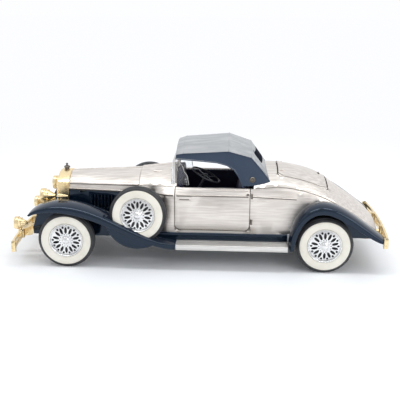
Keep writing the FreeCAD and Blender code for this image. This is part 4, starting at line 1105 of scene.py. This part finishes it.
# ---------------------------------------------------------------------------------------------
# Windscreen and cabin
# ---------------------------------------------------------------------------------------------
def make_windscreen_trim():
    """A second slim post each side with two round clamps, and a clear side wing behind it."""
    low, high = bounds_mm("windscreen_frame")
    x, half = high.x - 0.1, high.y
    post = [(x + 0.6, half - 0.4, 51.6), (x + 0.5, half - 0.5, 60.0), (x - 0.3, half - 0.9, 68.6)]
    pieces = [bent_bar("post", post, 0.55)]
    for z in (55.2, 62.6):
        clamp = spun("clamp", [(0.0, -0.7), (1.0, -0.7), (1.15, -0.2), (1.15, 0.2), (1.0, 0.7), (0.0, 0.7)],
                     (x + 0.4, half - 0.5, z), (0, 0, 1), closed=False, steps=24)
        pieces.append(smoothed(clamp, 35))
    on_both_sides(joined(pieces), "windscreen_post", "wheel_chrome")
    wing = [(14.2, 66.8), (12.4, 66.4), (10.6, 64.0), (9.6, 60.8), (7.6, 58.0), (7.0, 54.6), (6.6, 52.0), (14.2, 52.0)]
    pane = cut_sheet("wing", wing, half - 1.0, half - 0.5, 0.1)
    on_both_sides(pane, "side_wing", "clear_plastic")
    rim = bent_bar("wing_rim", [(wx, half - 0.75, wz) for wx, wz in wing[:-1]], 0.22)
    on_both_sides(rim, "side_wing_rim", "bright_metal")


def make_seat():
    """A bench with rolled pleats on the cushion and the squab."""
    low, high = bounds_mm("seat")
    rolls = []
    profile = [(-8.6, 27.0), (-8.5, 32.2), (-10.6, 34.4), (-17.0, 34.6), (-24.2, 34.0), (-25.4, 38.0), (-27.0, 45.0),
               (-28.2, 48.8), (-30.4, 49.8)]
    for y in steps(low.y + 2.2, high.y - 2.2, 10):
        rolls.append(bent_bar("roll", [(x, y, z) for x, z in profile], 2.2, resolution=4))
    base = dressed_copy("seat")
    done(joined([base] + rolls), "pleated_bench", "car", "seat_trim", ["seat"])
    piping = [(-29.8, y, 50.6) for y in steps(low.y + 1, high.y - 1, 12)]
    done(bent_bar("piping", piping, 0.35), "squab_piping", "car", "seat_trim")


def dressed_copy(node):
    piece = bpy.data.objects.new(f"{node}_core", NODES[node].data.copy())
    bpy.context.collection.objects.link(piece)
    piece.data.transform(Matrix.Translation((0, 0, -0.4 * MM)))
    return cleaned(piece)


def make_stitching():
    """A row of pale stitches along the top of each door card."""
    for side, body in ((1, "left_door"), (-1, "right_door")):
        stitches = []
        for x in steps(11.0, -29.0, 21):
            low, high = Vector((x - 0.55, side * 25.3 - 0.25, 50.3)), Vector((x + 0.55, side * 25.3 + 0.25, 50.65))
            stitches.append(rounded_block("stitch", low, high, 0.12, 1))
        name = "left" if side > 0 else "right"
        done(joined(stitches), f"door_stitching_{name}", body, "cream_band")


# ---------------------------------------------------------------------------------------------
# Lamps, radiator and bumpers
# ---------------------------------------------------------------------------------------------
def lamp_profile(radius, depth):
    """A bowl with a rolled rim in front and a long tapering back, as (radius, forward)."""
    return [(0.0, -depth), (0.8, -depth + 0.15), (1.5, -depth + 1.0), (radius * 0.62, -depth * 0.62),
            (radius * 0.86, -depth * 0.40), (radius * 0.94, -2.6), (radius, -2.3), (radius, -0.5),
            (radius - 0.15, -0.1), (radius - 0.5, 0.0), (radius - 0.75, -0.25), (radius - 0.9, -1.3), (0.0, -2.0)]


def lens_profile(radius):
    return [(0.0, 0.05), (radius * 0.5, -0.12), (radius - 0.95, -0.5), (radius - 0.95, -1.1), (0.0, -1.1)]


def make_lamps():
    for kind, node, radius, depth, slot_name in (("headlamp", "headlamp_left", 4.7, 9.6, "gold_plate"),
                                                 ("driving_lamp", "driving_lamps", 4.2, 8.6, "gold_plate")):
        low, high = bounds_mm(node)
        rim_x = high.x
        centre_y = {"headlamp": 17.0, "driving_lamp": 25.0}[kind]
        centre_z = {"headlamp": 41.2, "driving_lamp": 24.4}[kind]
        centre = (rim_x, centre_y, centre_z)
        bowl = smoothed(spun("bowl", lamp_profile(radius, depth), centre, AHEAD, closed=False, steps=64), 32)
        bands = [bent_ring("band", centre, -depth * 0.30, radius * 0.93 + 0.1, 0.22),
                 bent_ring("band", centre, -depth * 0.52, radius * 0.77 + 0.1, 0.18)]
        parts = [bowl] + bands
        if kind == "headlamp":
            parts.append(bent_bar("stalk", [(rim_x - 5.0, centre_y + 5.4, centre_z - 3.0),
                                            (rim_x - 5.0, centre_y + 0.6, centre_z - 3.6),
                                            (rim_x - 8.0, 13.6, centre_z - 3.0)], 0.8))
            nodes = (["headlamp_left"], ["headlamp_right"])
        else:
            parts.append(bent_bar("stalk", [(rim_x - 3.4, centre_y, centre_z - 3.0),
                                            (rim_x - 3.4, centre_y, centre_z - 8.6),
                                            (rim_x - 0.9, centre_y, centre_z - 10.0)], 0.9))
            collar = spun("collar", [(0.0, -0.6), (1.5, -0.6), (1.7, 0.0), (1.5, 0.6), (0.0, 0.6)],
                          (rim_x - 3.4, centre_y, centre_z - 5.2), UP, closed=False, steps=24)
            parts.append(smoothed(collar, 35))
            nodes = (["driving_lamps"], ["driving_lamps"])
        on_both_sides(joined(parts), kind, slot_name, left_nodes=nodes[0], right_nodes=nodes[1])
        glass = smoothed(spun("glass", lens_profile(radius), centre, AHEAD, closed=False, steps=48), 40)
        on_both_sides(glass, f"{kind}_lens", "clear_plastic", left_nodes=["lamp_lenses"], right_nodes=["lamp_lenses"])


def bent_ring(name, centre, along, radius, thick):
    spots = []
    for index in range(48):
        angle = FULL_TURN * index / 48
        spots.append((centre[0] + along, centre[1] + radius * math.cos(angle), centre[2] + radius * math.sin(angle)))
    return bent_bar(name, spots, thick, cyclic=True)


# ---------------------------------------------------------------------------------------------
# Radiator, bumpers and small fittings
# ---------------------------------------------------------------------------------------------
def make_radiator():
    """Fine upright shutters behind the shell, a beaded rim and a faceted filler cap."""
    low, high = bounds_mm("radiator_grille")
    shutters = []
    for index in range(-11, 12):
        y = index * 1.02
        top = high.z - 0.6 - (y / 11.5) ** 2 * 4.6
        shutters.append(rounded_block("shutter", (high.x - 0.8, y - 0.3, low.z + 0.4), (high.x + 0.35, y + 0.3, top), 0.14, 2))
    done(joined(shutters), "radiator_shutters", "car", "gold_plate")
    shell_low, shell_high = bounds_mm("radiator_shell")
    x = shell_high.x + 0.05
    half, foot, shoulder, crown = 13.0, shell_low.z + 2.2, 47.4, shell_high.z - 2.9
    arch = [(x, half, foot)]
    for index in range(13):
        angle = math.pi * index / 12
        arch.append((x, half * math.cos(angle), shoulder + (crown - shoulder) * math.sin(angle)))
    arch.append((x, -half, foot))
    done(bent_bar("bead", arch, 0.35, cyclic=True), "radiator_bead", "car", "gold_plate")
    cap_low, cap_high = bounds_mm("radiator_cap")
    centre = Vector(((cap_low.x + cap_high.x) / 2, 0, 0))
    z = cap_low.z
    profile = [(0.0, z), (1.5, z), (1.5, z + 0.8), (2.05, z + 1.1), (2.05, z + 1.8), (1.5, z + 2.2), (0.8, z + 2.5),
               (0.62, z + 3.1), (0.9, z + 3.5), (0.6, z + 4.0), (0.0, cap_high.z)]
    cap = smoothed(spun("cap", profile, centre, UP, closed=False, steps=32), 32)
    done(cap, "filler_cap", "car", "dark_metal", ["radiator_cap"])


def make_bumper_trim():
    """Round end caps and bolt heads without any mark, on both bumpers."""
    for node, facing in (("front_bumper", 1), ("rear_bumper", -1)):
        low, high = bounds_mm(node)
        middle_z = (low.z + high.z) / 2
        reach = high.x if facing > 0 else low.x
        bow = 384.0
        parts = []
        for y in (-41.2, -14.0, 14.0, 41.2):
            x = reach - facing * (y * y / (2 * bow))
            stud = [(0.0, -0.6), (1.5, -0.6), (1.6, 0.1), (1.1, 0.6), (0.7, 0.75), (0.0, 0.8)]
            parts.append(smoothed(spun("stud", stud, (x - 0.55 * facing, y, middle_z), (facing, 0, 0), closed=False,
                                       steps=24), 35))
        for y in (-41.8, 41.8):
            x = reach - facing * (y * y / (2 * bow) + 1.0)
            for z in (low.z + 1.35, high.z - 1.35):
                roll = spun("roll", [(0.0, -1.35), (0.9, -1.35), (1.15, -0.9), (1.15, 0.9), (0.9, 1.35), (0.0, 1.35)],
                            (x, y, z), UP, closed=False, steps=24)
                parts.append(smoothed(roll, 35))
        done(joined(parts), f"{node}_fittings", "car", "gold_plate")


def make_board_trim():
    """A bright rolled lip along each running board, with round ends."""
    low, high = bounds_mm("running_boards")
    rail = [(high.x - 0.2, high.y - 0.25, high.z - 0.55), (low.x + 0.2, high.y - 0.25, high.z - 0.55)]
    lower = [(high.x - 0.2, high.y - 0.25, low.z + 0.6), (low.x + 0.2, high.y - 0.25, low.z + 0.6)]
    lips = joined([bent_bar("rail", rail, 0.5), bent_bar("rail", lower, 0.45)])
    on_both_sides(lips, "board_lip", "bright_metal")


def make_dashboard_trim():
    """Bezels, with pale ticks and needles, on the dashboard."""
    low, _ = bounds_mm("dashboard")
    face = low.x
    for label, y in (("near", 5.5), ("middle", 0.0), ("far", -5.5)):
        ring = smoothed(spun("bezel", [(1.45, -0.1), (1.9, -0.1), (1.85, 0.35), (1.6, 0.45), (1.45, 0.3)],
                             (face, y, 50.5), (-1, 0, 0), steps=36), 35)
        done(ring, f"dial_bezel_{label}", "car", "wheel_chrome")
        marks = []
        for index in range(9):
            angle = math.radians(-120 + 30 * index)
            spot = Vector((face - 0.12, y + 1.2 * math.sin(angle), 50.5 + 1.2 * math.cos(angle)))
            marks.append(rounded_block("tick", spot - Vector((0.06, 0.07, 0.07)), spot + Vector((0.06, 0.07, 0.07)), 0.02, 1))
        marks.append(bent_bar("needle", [(face - 0.15, y, 50.5), (face - 0.15, y + 0.7, 51.3)], 0.08, resolution=1))
        done(joined(marks), f"dial_marks_{label}", "car", "cream_band")


def make_steering_wheel():
    """A thin rim, four wire spokes and a domed boss."""
    centre = Vector((-3.9, 12.0, 55.9))
    tilt = math.radians(27.0)
    axis = Vector((math.sin(tilt), 0, -math.cos(tilt)))
    ahead = Vector((math.cos(tilt), 0, math.sin(tilt)))
    radius = 9.7
    rim = []
    for index in range(60):
        angle = FULL_TURN * index / 60
        rim.append(centre + ahead * radius * math.cos(angle) + SIDEWAYS * radius * math.sin(angle))
    parts = [bent_bar("rim", rim, 0.52, cyclic=True, resolution=4)]
    spokes = []
    for index in range(4):
        angle = math.radians(45 + 90 * index)
        way = ahead * math.cos(angle) + SIDEWAYS * math.sin(angle)
        spokes.append(bent_bar("spoke", [centre + way * 1.0 + axis * 0.4, centre + way * 5.5 + axis * 0.5,
                                        centre + way * (radius - 0.2)], 0.26))
    boss = [(0.0, -0.9), (0.8, -0.8), (1.3, -0.3), (1.5, 0.4), (1.2, 1.6), (0.0, 1.7)]
    parts.append(smoothed(spun("boss", boss, centre, axis, closed=False, steps=32), 35))
    done(joined(parts), "sprung_steering_wheel", "car", "black_plastic", ["steering_wheel"])
    done(joined(spokes), "steering_spokes", "car", "steel")


def make_tail_lamps():
    low, high = bounds_mm("tail_lamps")
    centre = (low.x + 0.4, 19.0, (low.z + high.z) / 2)
    lens = smoothed(spun("lens", [(0.0, -0.2), (1.2, -0.2), (1.15, 0.3), (0.7, 0.55), (0.0, 0.6)], centre, (-1, 0, 0),
                         closed=False, steps=32), 40)
    on_both_sides(lens, "tail_lens", "red_lens", left_nodes=["tail_lamps"], right_nodes=["tail_lamps"])
    ring = smoothed(spun("ring", [(1.15, -1.4), (1.6, -1.4), (1.6, 0.2), (1.4, 0.45), (1.15, 0.3)], centre, (-1, 0, 0),
                         steps=32), 35)
    on_both_sides(ring, "tail_lamp_ring", "gold_plate")


def make_boot_handle():
    """A small dark turn handle that lies nearly flush on the lid."""
    skin = Skin("boot_lid")
    place = skin.top(-78.0, 0.0)
    slope = (skin.top(-77.0, 0.0) - skin.top(-79.0, 0.0)).normalized()
    plate = smoothed(spun("plate", [(0.0, -0.3), (1.1, -0.3), (1.1, 0.15), (0.9, 0.3), (0.0, 0.3)], place,
                          (-slope.z, 0, slope.x), closed=False, steps=28), 35)
    lift = Vector((-slope.z, 0, slope.x)) * 0.45
    bar = bent_bar("bar", [place + lift + Vector((0, -1.9, -0.1)), place + lift * 1.4, place + lift + Vector((0, 1.9, -0.1))],
                   0.36)
    done(joined([plate, bar]), "lid_handle", "boot", "dark_metal", ["boot_handle"])


# ---------------------------------------------------------------------------------------------
# The model
# ---------------------------------------------------------------------------------------------
dress_cad_nodes()
make_camera()
make_studio()
for node_name, width in DRESSED.items():
    dressed(node_name, width)
dressed("body_shell", 0.0, 40, flat_faces=False)
make_wheels()
make_fenders()
make_belt_mouldings()
make_painted_shade_lines()
make_door_handles()
make_door_seams()
make_cowl_trim()
make_louvres()
make_boot_trim()
make_top_trim()
make_windscreen_trim()
make_seat()
make_stitching()
make_lamps()
make_radiator()
make_bumper_trim()
make_board_trim()
make_dashboard_trim()
make_steering_wheel()
make_tail_lamps()
make_boot_handle()
